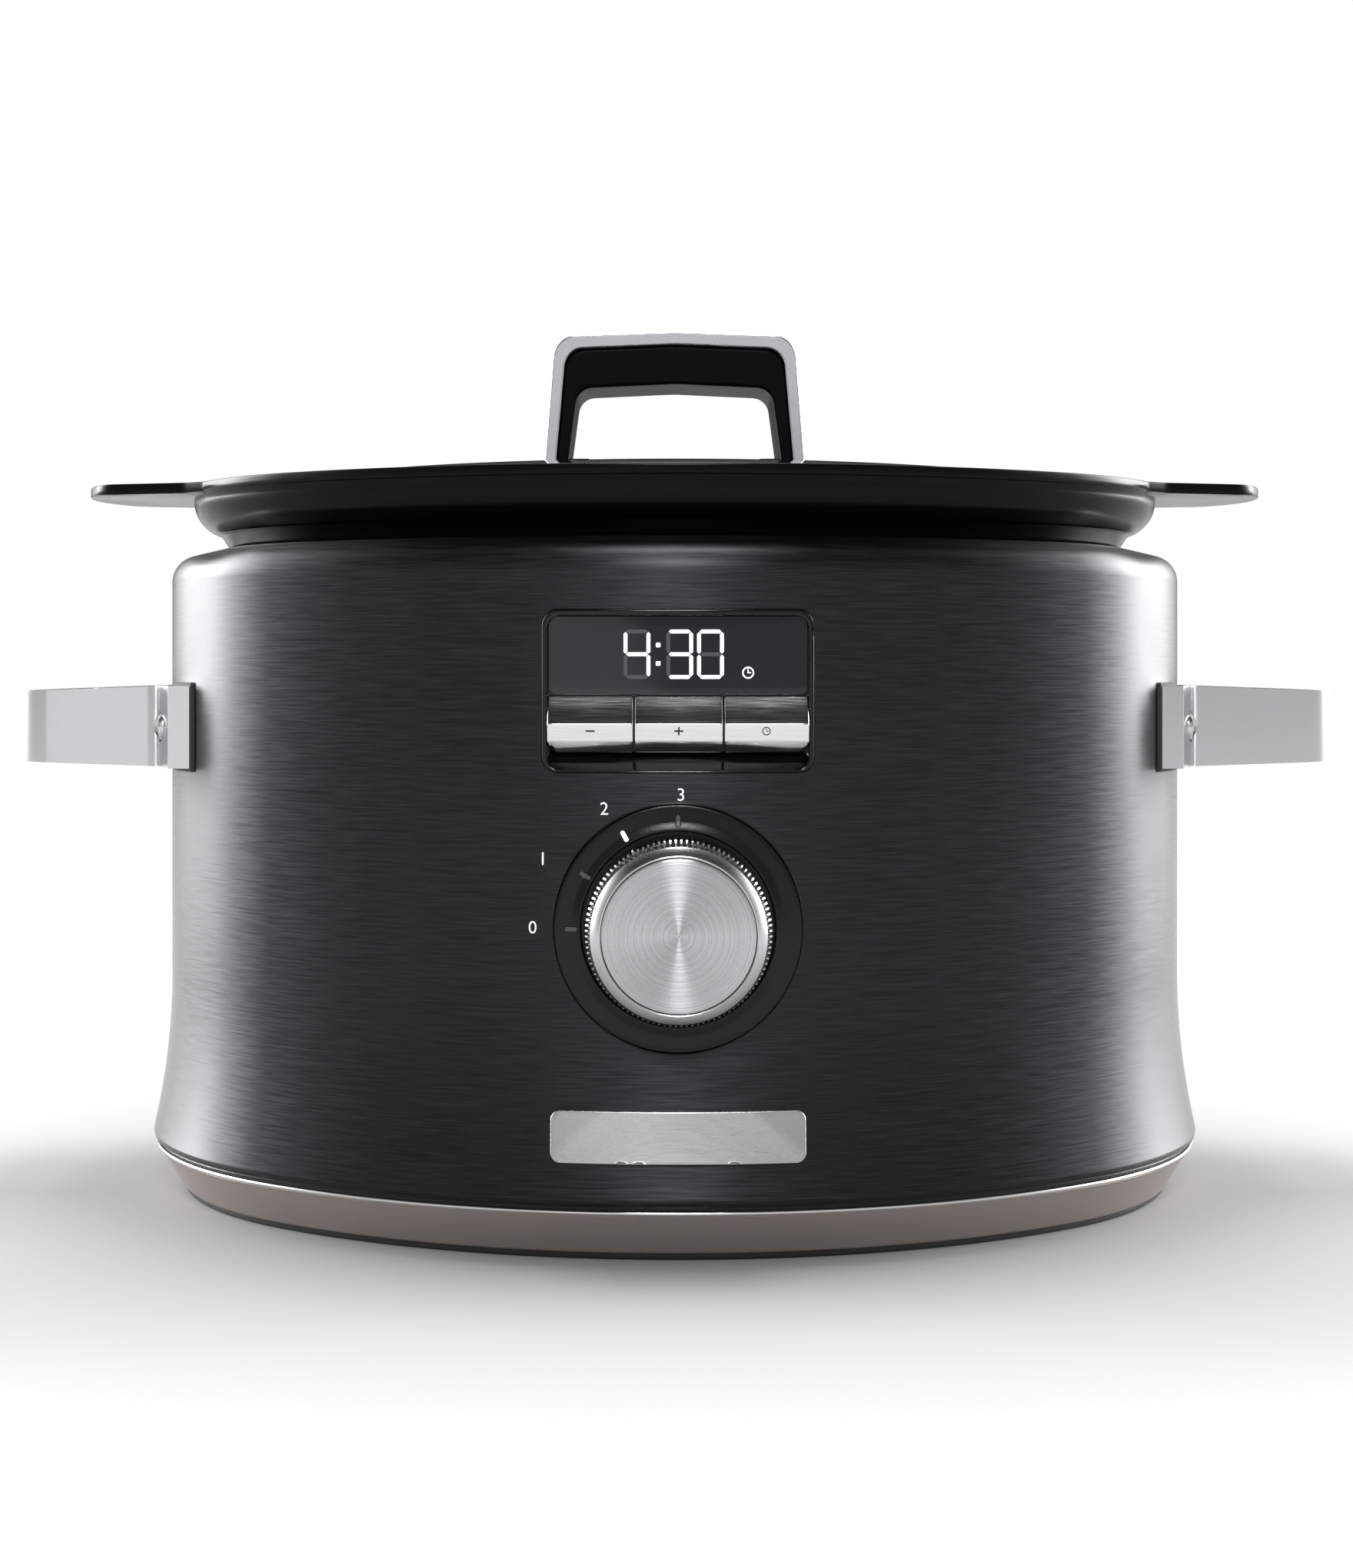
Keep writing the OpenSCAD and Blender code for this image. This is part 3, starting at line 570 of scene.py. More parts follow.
# name: colour, roughness, stretch of the grain, its scale, tint, depth in mm, anisotropy
METALS = {
    "dark_steel": ((0.030, 0.030, 0.032), 0.36, ALONG_WALL, 2600.0, 0.30, 0.007, 0.75),
    "bright_trim": ((0.72, 0.71, 0.70), 0.16, (0.02, 0.02, 1.0), 1800.0, 0.05, 0.002, 0.3),
    "handle_metal": ((0.52, 0.52, 0.53), 0.20, EVEN, 2600.0, 0.015, 0.0002, 0.0),
    "lid_strap": ((0.43, 0.43, 0.45), 0.30, EVEN, 3000.0, 0.02, 0.0003, 0.0),
    "button_metal": ((0.64, 0.64, 0.64), 0.15, ALONG_X, 5200.0, 0.06, 0.0006, 0.2),
    "plate_metal": ((0.42, 0.42, 0.42), 0.30, ALONG_X, 5200.0, 0.025, 0.0004, 0.5),
    "steel": ((0.55, 0.55, 0.56), 0.25, EVEN, 1200.0, 0.05, 0.003, 0.0),
    "liner_steel": ((0.45, 0.45, 0.46), 0.35, (0.05, 0.05, 1.0), 900.0, 0.1, 0.004, 0.3),
    "knob_metal": ((0.48, 0.48, 0.49), 0.20, EVEN, 2500.0, 0.03, 0.0004, 0.0),
    "copper_winding": ((0.62, 0.30, 0.14), 0.35, (1, 1, 0.1), 2500.0, 0.2, 0.05, 0.2),
}
# name: colour, roughness, scale of the texture, its depth in mm, tint, changes in roughness
PLASTICS = {
    "band_grey": ((0.33, 0.285, 0.27), 0.38, 1800.0, 0.002, 0.04, 0.04),
    "black_rubber": ((0.012, 0.012, 0.012), 0.75, 1200.0, 0.02),
    "black_plastic": ((0.0012, 0.0012, 0.0016), 0.40, 2200.0, 0.004),
    "dial_black": ((0.001, 0.001, 0.001), 0.21, 2400.0, 0.03),
    "gloss_black": ((0.003, 0.003, 0.0035), 0.12, 400.0, 0.0002, 0.02, 0.02),
    "smoked_window": ((0.010, 0.010, 0.013), 0.05, 200.0, 0.0001, 0.02, 0.01),
    "pot_black": ((0.0015, 0.0015, 0.0017), 0.22, 1800.0, 0.004, 0.1, 0.04),
    "silicone": ((0.03, 0.03, 0.03), 0.6, 1500.0, 0.01),
    "print_grey": ((0.92, 0.92, 0.94), 0.5, 2500.0, 0.002),
    "print_dark": ((0.02, 0.02, 0.022), 0.45, 2500.0, 0.002),
    "unlit_segment": ((0.06, 0.06, 0.066), 0.35, 2500.0, 0.001),
    "component_black": ((0.02, 0.02, 0.02), 0.45),
    "circuit_board": ((0.02, 0.12, 0.05), 0.4, 700.0, 0.01, 0.25),
    "insulation": ((0.62, 0.60, 0.55), 0.9, 700.0, 0.3, 0.15),
    "mica": ((0.45, 0.36, 0.22), 0.4, 500.0, 0.03, 0.2),
}
# Sockets set away from their defaults
SOCKETS = {
    "band_grey": {"Metallic": 0.6},
    "black_plastic": {"Specular_IOR_Level": 0.05},
    "dial_black": {"Specular_IOR_Level": 0.27},
    "gloss_black": {"Specular_IOR_Level": 0.3},
    "smoked_window": {"Specular_IOR_Level": 0.4},
    "pot_black": {"Specular_IOR_Level": 0.09},
}
M = {name: brushed(name, *values) for name, values in METALS.items()}
M.update({name: plastic(name, *values, **SOCKETS.get(name, {})) for name, values in PLASTICS.items()})
M["spun_aluminium"] = spun("spun_aluminium", (0.43, 0.43, 0.44), 0.28, DIAL_Z, 2300.0, 0.001, 0.30)


def lit_material():
    p = Paint("digit_white", (0.9, 0.92, 0.95), 0.4)
    p.vary(p.noise(1500.0), 0.03, 0.03)
    return p.done(Emission_Color=(0.92, 0.95, 1.0, 1), Emission_Strength=0.9)


def glass_material():
    p = Paint("lid_glass", (0.93, 0.96, 0.95), 0.03)
    p.vary(p.noise(60.0), 0.015)
    return p.done(Transmission_Weight=1.0, IOR=1.5)


M["digit_white"] = lit_material()
M["lid_glass"] = glass_material()

# ---- housing ----

CROWN_SLOPE = math.tan(math.radians(CROWN))
flare_bottom = 19.4
shoulder_out = -FILLET_R + FILLET_R * math.sin(math.radians(CROWN))
fillet_z = BODY_TOP - (shoulder_out - MOUTH) * CROWN_SLOPE - FILLET_R * math.cos(math.radians(CROWN))
shoulder = (shoulder_out, fillet_z + FILLET_R * math.cos(math.radians(CROWN)))


def housing_section():
    """The wall from its hem up over the crown to the mouth, and back down inside."""
    inner_r = FILLET_R - SHEET
    inner_shoulder = (
        -FILLET_R + inner_r * math.sin(math.radians(CROWN)),
        fillet_z + inner_r * math.cos(math.radians(CROWN)),
    )
    low = math.degrees(math.asin((FLARE_TOP - flare_bottom) / FLARE_R))
    hem = math.degrees(math.asin((FLARE_TOP - BODY_BOTTOM - SHEET) / (FLARE_R + SHEET)))
    straight = [(0.0, FLARE_TOP + (fillet_z - FLARE_TOP) * i / 16) for i in range(1, 16)]
    return (
        [(-3, BODY_BOTTOM), (4.9, BODY_BOTTOM), (5.5, BODY_BOTTOM + 0.6)]
        + [(flare_at(flare_bottom) - 0.02, flare_bottom - 0.5)]
        + arc(FLARE_R, FLARE_TOP, FLARE_R, 180 + low, 180, 14)
        + straight
        + arc(-FILLET_R, fillet_z, FILLET_R, 0, 90 - CROWN, 12)
        + [(MOUTH + 0.5, shoulder[1] + (shoulder[0] - MOUTH - 0.5) * CROWN_SLOPE)]
        + [(MOUTH, shoulder[1] + (shoulder[0] - MOUTH) * CROWN_SLOPE - 0.35)]
        + [(MOUTH, inner_shoulder[1] + (inner_shoulder[0] - MOUTH) * CROWN_SLOPE)]
        + arc(-FILLET_R, fillet_z, inner_r, 90 - CROWN, 0, 8)
        + arc(FLARE_R, FLARE_TOP, FLARE_R + SHEET, 180, 180 + hem, 8)
        + [(-3, BODY_BOTTOM + SHEET)]
    )


housing = sweep("housing_shell", housing_section(), sharp=30)
FRONT_CUT = (-145, -110)
BACK_CUT = (115, 145)
GLAND_Z = 44
panel_outline = rrect(0, PANEL_Z, PANEL_W + 0.2, PANEL_H + 0.2, PANEL_R + 0.1)
cut(housing, [
    prism_y("panel_hole", panel_outline, *FRONT_CUT),
    prism_y("dial_hole", arc(0, DIAL_Z, DIAL_R + 0.5, 0, 360 - 3, 119), *FRONT_CUT),
    prism_y("gland_hole", arc(0, GLAND_Z, 8, 0, 360 - 7.5, 47), *BACK_CUT),
])


def wall_normal(x, y, z):
    """The housing's outward normal if the point lies on its outer skin, or None."""
    grow, out = locate(x, y)
    if z > fillet_z - 0.01:
        v = Vector((grow + FILLET_R, z - fillet_z))
        if abs(v.length - FILLET_R) > 0.03 or grow < shoulder[0] - 0.02:
            return None
        v.normalize()
    elif z >= FLARE_TOP:
        if abs(grow) > 0.03:
            return None
        v = Vector((1, 0))
    elif z >= flare_bottom - 0.01:
        if abs(grow - flare_at(z)) > 0.03:
            return None
        v = Vector((FLARE_R - grow, FLARE_TOP - z)).normalized()
    else:
        return None
    return Vector((out.x * v.x, out.y * v.x, v.y))


def true_normals(obj, rule):
    """Gives the faces on a known surface its exact normals, so that cuts leave no marks in the shading."""
    tidy_mesh(obj.data, 30)
    mesh = obj.data
    exact = [rule(*(v.co / MM)) for v in mesh.vertices]
    normals = [tuple(n.vector) for n in mesh.corner_normals]
    for poly in mesh.polygons:
        known = [exact[i] for i in poly.vertices]
        if any(n is None for n in known):
            continue
        if any(n.dot(poly.normal) < 0.9 for n in known):
            continue
        for loop, n in zip(poly.loop_indices, known):
            normals[loop] = tuple(n)
    mesh.normals_split_custom_set(normals)


true_normals(housing, wall_normal)
place(housing, "housing", "dark_steel",
      "housing_front", "housing_back", "housing_left", "housing_right")

seal = sweep("trim_seal", [(-6, 16), (3.6, 16), (3.6, 17), (-6, 17)])
place(seal, "housing", "black_rubber", "trim_gasket")
bead = arc(4.4, 15.3, 0.7, -80, 80, 10)
trim = sweep("trim_bead", [(-6, 14.6), (4.4, 14.6)] + bead + [(4.4, 16), (-6, 16)], sharp=40)
place(trim, "housing", "bright_trim", "trim_ring")
band = sweep("base_band_moulding", rounded([
    (-3.9, 1.8, 0), (-3.1, 2.4, 0.6), (3.2, 13.0, 1.5), (4.2, 14.6, 0.3),
    (-1, 14.6, 0), (-6.5, 5, 0), (-6.5, 1.8, 0)], 5))
place(band, "housing", "band_grey", "base_band")
foot = sweep("foot_ring_moulding", rounded([
    (-10, 0, 0.5), (-4.5, 0, 0.6), (-4.1, 1.7, 0.2), (-10, 1.7, 0)], 4))
place(foot, "housing", "black_rubber", "foot_ring")

# Folded edge round the dial's opening
edge_points = []
ring_n, tube_n = 128, 8
for i in range(ring_n):
    a = 2 * math.pi * i / ring_n
    ux, uz = math.cos(a), math.sin(a)
    for k in range(tube_n):
        b = 2 * math.pi * k / tube_n
        r = DIAL_R + 0.45 + 0.3 * math.cos(b)
        x = r * ux
        edge_points.append((x, front_y(x) + 0.12 - 0.3 * math.sin(b), DIAL_Z + r * uz))
hole_edge = solid("dial_hole_edge", edge_points, grid_faces(ring_n, tube_n))
place(hole_edge, "housing", "dark_steel")

# ---- control panel ----

LIP_LOW = 143.4
OPENING_Z = (WINDOW_TOP + LIP_LOW) / 2
OPENING_H = WINDOW_TOP - LIP_LOW
bezel = plate(
    "bezel_frame",
    lambda d: rrect(0, PANEL_Z, PANEL_W, PANEL_H, PANEL_R, d),
    [lambda d: rrect(0, OPENING_Z, WINDOW_W + 0.6, OPENING_H, 4.0, d)],
    lambda x, z: front_y(x, 0.6),
    lambda x, z: -120.4,
    soft=0.7,
)
place(bezel, "housing", "gloss_black", "control_bezel")


RECESS_Y = -123.9


def recess_y(x, z):
    """The recess: flat behind the buttons, with a lip below them that slopes out to the front."""
    t = min(max((BUTTON_LOW - 0.4 - z) / (BUTTON_LOW - 0.4 - LIP_LOW), 0), 1)
    return RECESS_Y + (front_y(x, 0.2) - RECESS_Y) * t


recess = plate(
    "bezel_floor",
    lambda d: rrect(0, OPENING_Z, WINDOW_W + 0.8, OPENING_H + 0.2, 4.0, d),
    [],
    recess_y,
    lambda x, z: -121.0,
    soft=0.1,
    step=1.5,
)
place(recess, "housing", "gloss_black")

window = plate(
    "display_pane",
    lambda d: rrect(0, (WINDOW_TOP + BUTTON_TOP + 0.3) / 2, WINDOW_W, WINDOW_TOP - BUTTON_TOP - 0.3, 2.2, d),
    [],
    lambda x, z: POCKET_Y,
    lambda x, z: POCKET_Y + 1.9,
    soft=0.25,
)
place(window, "housing", "smoked_window", "display_window")

DIGIT_X = (-12.0, 0.5, 9.5)
DIGIT_Z = 177.0
DIGIT_H = 14.4
DIGIT_W = 7.8
STROKE = 1.1
LIT_RISE = 0.12
DIGIT_BACK = POCKET_Y + 0.2
# The lit segments of 4, 3 and 0
LIT = ((1, 2, 5, 6), (0, 1, 2, 3, 6), (0, 1, 2, 3, 4, 5))


def ring_quads(cx, cz, r0, r1):
    n = 24
    out = []
    for k in range(n):
        a, b = 2 * math.pi * k / n, 2 * math.pi * (k + 1) / n
        corners = ((r0, a), (r1, a), (r1, b), (r0, b))
        out.append([(cx + r * math.cos(t), cz + r * math.sin(t)) for r, t in corners])
    return out


def bar(cx, cz, length, upright):
    w, end = STROKE / 2, length / 2
    pts = [(-end, 0), (-end + w, w), (end - w, w), (end, 0), (end - w, -w), (-end + w, -w)]
    if upright:
        pts = [(-z, x) for x, z in pts]
    return [(cx + x, cz + z) for x, z in pts]


def segment(cx, index):
    across = DIGIT_W - STROKE
    half = (DIGIT_H - STROKE) / 2
    gap = 0.35
    spots = (
        (0, half, False), (across / 2, half / 2, True), (across / 2, -half / 2, True),
        (0, -half, False), (-across / 2, -half / 2, True), (-across / 2, half / 2, True), (0, 0, False))
    x, z, upright = spots[index]
    return bar(cx + x, DIGIT_Z + z, (half if upright else across) - gap, upright)


lit, unlit = [], []
for place_index, cx in enumerate(DIGIT_X):
    for index in range(7):
        on = index in LIT[place_index]
        piece = prism_y("seg", segment(cx, index), POCKET_Y - (LIT_RISE if on else 0.03), DIGIT_BACK)
        (lit if on else unlit).append(piece)
for dz in (-2.7, 2.7):
    lit.append(prism_y("dot", rrect(-5.8, DIGIT_Z + dz, 1.3, 1.3, 0.2), POCKET_Y - LIT_RISE, DIGIT_BACK))
CLOCK_X, CLOCK_Z = 20.5, 171.6
clock_parts = ring_quads(CLOCK_X, CLOCK_Z, 1.35, 1.75) + [
    rrect(CLOCK_X, CLOCK_Z + 0.45, 0.32, 1.2, 0.08, n=2),
    rrect(CLOCK_X + 0.4, CLOCK_Z, 0.95, 0.32, 0.08, n=2)]
for loop in clock_parts:
    lit.append(prism_y("clock", loop, POCKET_Y - LIT_RISE, DIGIT_BACK))
place(join("digits_lit", lit), "housing", "digit_white", "display_digits")
place(join("digits_unlit", unlit), "housing", "smoked_window", look="unlit_segment")


FLAT_Y, FLAT_Z = -129.36, 152.2
KEY_BACK = -125.4


def key_y(z):
    """Y of the leaning part of a button's face."""
    return FLAT_Y - (z - FLAT_Z) * 0.26


def button_section():
    """(y, z) up the face of a button: bevel, flat that leans down, ridge, scoop and top edge."""
    return (
        [(-126.0, BUTTON_LOW), (-126.8, BUTTON_LOW), (-127.0, BUTTON_LOW + 0.15)]
        + [(-129.0, 151.3), (-129.3, 151.85), (FLAT_Y, FLAT_Z)]
        + [(key_y(z), z) for z in (152.5, 153.5, 154.5, 155.5)]
        + arc(-129.70, 156.49, 0.75, 194.6, 155, 6)
        + [(-129.3, 158.3), (-128.2, 160.1), (-127.2, 162.0), (-126.15, 164.35)]
        + [(-125.97, BUTTON_TOP - 0.3), (-125.75, BUTTON_TOP - 0.06), (KEY_BACK, BUTTON_TOP)]
    )


def button(name, i, body, node):
    gap = 0.22
    left = BUTTON_EDGES[i] + (0 if i == 0 else gap)
    right = BUTTON_EDGES[i + 1] - (0 if i == 2 else gap)
    soft = 0.55
    xs = [left + soft * (1 - math.cos(math.radians(a))) for a in (0, 18, 36, 54, 72, 90)]
    m = 12
    middle = [left + soft + (right - left - 2 * soft) * k / m for k in range(1, m)]
    xs = xs + middle + [left + right - x for x in reversed(xs)]
    section = button_section()
    verts = []
    corner = 3.2
    for x in xs:
        t = min(x - left, right - x)
        drop = soft - math.sqrt(max(soft ** 2 - max(soft - t, 0) ** 2, 0))
        low = BUTTON_LOW
        if i == 0 and x - left < corner:
            low += corner - math.sqrt(corner ** 2 - (corner - (x - left)) ** 2)
        if i == 2 and right - x < corner:
            low += corner - math.sqrt(corner ** 2 - (corner - (right - x)) ** 2)
        for y, z in section:
            verts.append((x, y + drop, max(z, low)))
    cols = len(section)
    faces = grid_faces(len(xs), cols, False, False)
    back = len(verts)
    for k, x in enumerate(xs):
        verts.append((x, KEY_BACK, verts[k * cols][2]))
        verts.append((x, KEY_BACK, BUTTON_TOP))
    for k in range(len(xs) - 1):
        b = back + 2 * k
        faces.append((k * cols, (k + 1) * cols, b + 2, b))
        faces.append(((k + 1) * cols - 1, (k + 2) * cols - 1, b + 3, b + 1))
        faces.append((b, b + 2, b + 3, b + 1))
    for k in (0, len(xs) - 1):
        b = back + 2 * k
        faces.append((b, *range(k * cols, (k + 1) * cols), b + 1))
    obj = solid(name, verts, faces, 28)
    place(obj, body, "button_metal", node)


button("minus_key", 0, "minus_button", "button_minus")
button("plus_key", 1, "plus_button", "button_plus")
button("cancel_key", 2, "cancel_button", "button_cancel")


def symbol(name, loops, body):
    """A thin raised sign that follows the leaning face of a button."""
    proud, sunk = 0.06, 0.25
    parts = []
    for loop in loops:
        near = [(x, key_y(z) - proud, z) for x, z in loop]
        far = [(x, key_y(z) + sunk, z) for x, z in loop]
        parts.append(slab("mark", near, far))
    place(join(name, parts), body, "black_plastic", look="print_dark")


SYMBOL_Z = 154.6
symbol("minus_sign", [rrect(-25.6, SYMBOL_Z, 2.6, 0.5, 0.1, n=2)], "minus_button")
plus = [rrect(0.2, SYMBOL_Z, 2.6, 0.5, 0.1, n=2), rrect(0.2, SYMBOL_Z, 0.5, 2.4, 0.1, n=2)]
symbol("plus_sign", plus, "plus_button")
hands = [
    rrect(25.7, SYMBOL_Z + 0.35, 0.22, 0.8, 0.05, n=2),
    rrect(26.0, SYMBOL_Z, 0.7, 0.22, 0.05, n=2)]
symbol("clock_sign", ring_quads(25.7, SYMBOL_Z, 0.95, 1.25) + hands, "cancel_button")

# ---- dial ----


def ring_height(r):
    """Forward reach of the dial ring: nearly flat outside, then a cone that rises to the well."""
    return 130.8 + 0.05 * min(35.7 - r, 4.4) + 0.31 * max(31.3 - r, 0)


ring_section = [(28.2, 125.8), (36.1, 125.8), (36.1, 130.35), (35.95, 130.68), (35.7, 130.8)]
ring_section += [(r, ring_height(r)) for r in (34.5, 33.2, 32.0, 31.4, 31.2, 30.5, 29.8, 29.1)]
ring_section += [
    (28.8, 131.76), (28.5, 131.7), (28.28, 131.5), (28.2, 131.1), (28.2, 127.8), (3.6, 127.8), (3.6, 126.0)]
dial_centre = (0, 0, DIAL_Z)
FORWARD = (0, -1, 0)
ring = turn("dial_bezel", ring_section, dial_centre, FORWARD, 160, True)
place(ring, "housing", "black_plastic", "dial_ring", look="dial_black")

TICKS = ((180, "faint"), (150, "faint"), (120, "lit"), (90, "dark"))


def tick_surface(x, z):
    return -ring_height(math.hypot(x, z - DIAL_Z))


def tick_outline(angle, grow):
    a = math.radians(angle)
    out = []
    for x, z in rrect(TICK_R, 0, 3.5 + 2 * grow, 1.3 + 2 * grow, 0.65 + grow, n=6, step=1.0):
        out.append((x * math.cos(a) - z * math.sin(a), DIAL_Z + x * math.sin(a) + z * math.cos(a)))
    return out


tick_rims, tick_faces, tick_lit = [], [], []
for angle, look in TICKS:
    rise = 0.16 if look == "lit" else 0.07
    rim = plate(
        "rim", lambda d, a=angle: tick_outline(a, 0.22 - d), [lambda d, a=angle: tick_outline(a, -d)],
        lambda x, z: tick_surface(x, z) - 0.10, lambda x, z: tick_surface(x, z) + 0.3,
        soft=0.05, n=2, step=0.6)
    apply_modifiers(rim)
    tick_rims.append(rim)
    face = plate(
        "face", lambda d, a=angle: tick_outline(a, -0.02 - d), [],
        lambda x, z, d=rise: tick_surface(x, z) - d, lambda x, z: tick_surface(x, z) + 0.5,
        soft=0.05, n=2, step=0.6)
    apply_modifiers(face)
    (tick_lit if look == "lit" else tick_faces).append(face)
place(join("tick_rims", tick_rims), "housing", "black_plastic", look="gloss_black")
place(join("tick_unlit", tick_faces), "housing", "digit_white", look="unlit_segment")
place(join("tick_lit", tick_lit), "housing", "digit_white", "dial_ticks")

KNURL_N = 104
PER_TOOTH = 6
# (forward reach, tooth height, row) along the knob's side: two rows of teeth with bevelled front ends
KNURL_STEPS = (
    (139.2, 0.0, 0), (139.5, 1.15, 0), (142.6, 1.05, 0), (143.7, 0.1, 0),
    (144.3, 0.1, 1), (145.0, 0.75, 1), (146.9, 0.7, 1), (148.2, 0.0, 1))
knob_profile = [(0, 127.9), (3.0, 127.9), (3.0, 133.2), (25.3, 133.2), (25.8, 133.6), (25.8, 138.8)]
knurl_start = len(knob_profile)
knob_profile += [(26.0 - 0.75 * (y - 139.2) / 9.0, y) for y, _, _ in KNURL_STEPS]
knob_profile += [
    (25.25, 148.62), (25.08, 148.78), (22.95, 151.12), (22.65, 151.22),
    (22.3, 151.1), (22.1, 150.7), (22.1, 149.8), (0, 149.8)]


def knurl(i, j, r):
    """Blunt teeth in the rear row and pointed ones, half a pitch round, in the front row."""
    if not knurl_start <= j < knurl_start + len(KNURL_STEPS):
        return r
    _, height, row = KNURL_STEPS[j - knurl_start]
    u = abs((i / PER_TOOTH + 0.5 * row) % 1 - 0.5)
    share = min(max((0.38 - u) / 0.12, 0), 1) if row == 0 else max(0, 1 - u / 0.36)
    return r + height * share


knob = turn("knob_shell", knob_profile, dial_centre, FORWARD, KNURL_N * PER_TOOTH, False, 30, knurl)
place(knob, "knob", "knob_metal", "knob_body")
CAP_FLAT_R = 21.3
cap_section = [(0, 149.9), (22.0, 149.9), (22.0, 151.0), (21.9, 151.25), (21.65, 151.36)]
cap_section += [(CAP_FLAT_R - CAP_FLAT_R * k / 12, CAP_FRONT) for k in range(13)]
cap = turn("knob_disc", cap_section, dial_centre, FORWARD, 128)
place(cap, "knob", "spun_aluminium", "knob_cap")

# ---- numerals beside the marks ----


def numeral(text, x, z, height):
    cu = bpy.data.curves.new("numeral", "FONT")
    cu.body = text
    cu.extrude = 0.02
    cu.resolution_u = 4
    temp = add("numeral", cu)
    dg = bpy.context.evaluated_depsgraph_get()
    mesh = bpy.data.meshes.new_from_object(temp.evaluated_get(dg))
    bpy.data.objects.remove(temp)
    xs = [v.co.x for v in mesh.vertices]
    ys = [v.co.y for v in mesh.vertices]
    k = height / (max(ys) - min(ys))
    mx, my = (max(xs) + min(xs)) / 2, (max(ys) + min(ys)) / 2
    for v in mesh.vertices:
        px, pz = x + (v.co.x - mx) * k, z + (v.co.y - my) * k
        v.co = Vector((px, front_y(px) - 0.03 - (0.03 if v.co.z > 0 else -0.15), pz)) * MM
    tidy_mesh(mesh)
    return add("numeral", mesh)


NUMERAL_H = 3.7
NUMERALS = (("3", 0.8, 136.2), ("2", -21.5, 132.1), ("1", -39.5, 117.3), ("0", -42.5, 97.2))
labels = [numeral(t, x, z, NUMERAL_H) for t, x, z in NUMERALS]
place(join("dial_numerals", labels), "housing", "digit_white", look="print_grey")

# ---- name plate ----

PLATE_Z = 37.0
plate_obj = plate(
    "badge",
    lambda d: rrect(0, PLATE_Z, 74.4, 15.1, 2.9, d),
    [],
    lambda x, z: front_y(x, flare_at(z)) - 1.3,
    lambda x, z: front_y(x, flare_at(z)) + 0.1,
    soft=0.45,
    step=1.3,
)
place(plate_obj, "housing", "plate_metal", "name_plate")

# ---- side handles ----

LEG_OUT, LEG_IN = 42.0, 34.0
FOOT_Y = 47.5


def end_x(y, grow):
    return END_CX + math.sqrt((END_R + grow) ** 2 - y * y)


def resample(path, n):
    """n points spread evenly along a path."""
    total = [0.0]
    for a, b in zip(path, path[1:]):
        total.append(total[-1] + math.dist(a, b))
    out = []
    j = 0
    for i in range(n):
        d = total[-1] * i / (n - 1)
        while j < len(path) - 2 and total[j + 1] < d:
            j += 1
        span = total[j + 1] - total[j]
        t = (d - total[j]) / span if span else 0
        (x0, y0), (x1, y1) = path[j], path[j + 1]
        out.append((x0 + (x1 - x0) * t, y0 + (y1 - y0) * t))
    return out


def side_height(x):
    """Half the handle's height, which falls from its root to its reach."""
    root, root_half, tip_half = 164, 13.3, 11.4
    t = min(max((x - root) / (SIDE_REACH - root), 0), 1)
    return root_half + (tip_half - root_half) * t


def handle_contours():
    tip = SIDE_REACH
    foot_out = FOOT_Y + 9.0
    root = 5.0
    # Outer side of the upper half, from the gasket round the foot to the middle of the grip
    foot_ys = [foot_out - (foot_out - LEG_OUT - root) * k / 6 for k in range(7)]
    foot_face = [(end_x(y, 7), y) for y in foot_ys]
    fx, fy = foot_face[-1]
    turns = [math.radians(a) for a in range(15, 91, 15)]
    fillet = [(fx + root * (1 - math.cos(a)), fy - root * math.sin(a)) for a in turns]
    outer_r, inner_r = 13.0, 7.0
    straight_end = tip - outer_r
    outer = [
        resample([(end_x(foot_out, 1), foot_out), (end_x(foot_out, 7), foot_out)], 3),
        foot_face,
        [foot_face[-1]] + fillet,
        resample([fillet[-1], (straight_end, LEG_OUT)], 6),
        arc(straight_end, LEG_OUT - outer_r, outer_r, 90, 0, 12),
        resample([(tip, LEG_OUT - outer_r), (tip, 0)], 8),
    ]
    inner_tip = tip - 8.0
    x0 = end_x(LEG_IN, 1)
    lead = resample([(x0, LEG_IN), (fillet[-1][0], LEG_IN)], 3 + 7 + 7 - 2)
    inner = [
        lead[:3],
        lead[2:9],
        lead[8:15],
        resample([lead[-1], (inner_tip - inner_r, LEG_IN)], 6),
        arc(inner_tip - inner_r, LEG_IN - inner_r, inner_r, 90, 0, 12),
        resample([(inner_tip, LEG_IN - inner_r), (inner_tip, 0)], 8),
    ]
    a, b = [], []
    for o, i in zip(outer, inner):
        count = max(len(o), len(i))
        o = o if len(o) == count else resample(o, count)
        i = i if len(i) == count else resample(i, count)
        a += o if not a else o[1:]
        b += i if not b else i[1:]
    a += [(x, -y) for x, y in reversed(a[:-1])]
    b += [(x, -y) for x, y in reversed(b[:-1])]
    return a, b


def side_handle(name, side, node):
    outer, inner = handle_contours()
    stations = []
    for (x, y), (ix, iy) in zip(outer, inner):
        top, low = SIDE_Z + side_height(x), SIDE_Z - side_height(x)
        stations.append(((side * x, y, top), (side * x, y, low), (side * ix, iy, low), (side * ix, iy, top)))
    obj = tube(name, stations, 40)
    bore = [(0, 164.6), (5.0, 164.6), (5.0, 172.0), (0, 172.0)]
    cutters = [turn("bore", bore, (0, y, SIDE_Z), (side, 0, 0), 48) for y in (-FOOT_Y, FOOT_Y)]
    bevel(obj, 2.4, 5, 50)
    apply_modifiers(obj)
    tidy_mesh(obj.data, 40)
    cut(obj, cutters)
    tidy_mesh(obj.data, 40)
    weigh(obj)
    place(obj, "housing", "handle_metal", node)


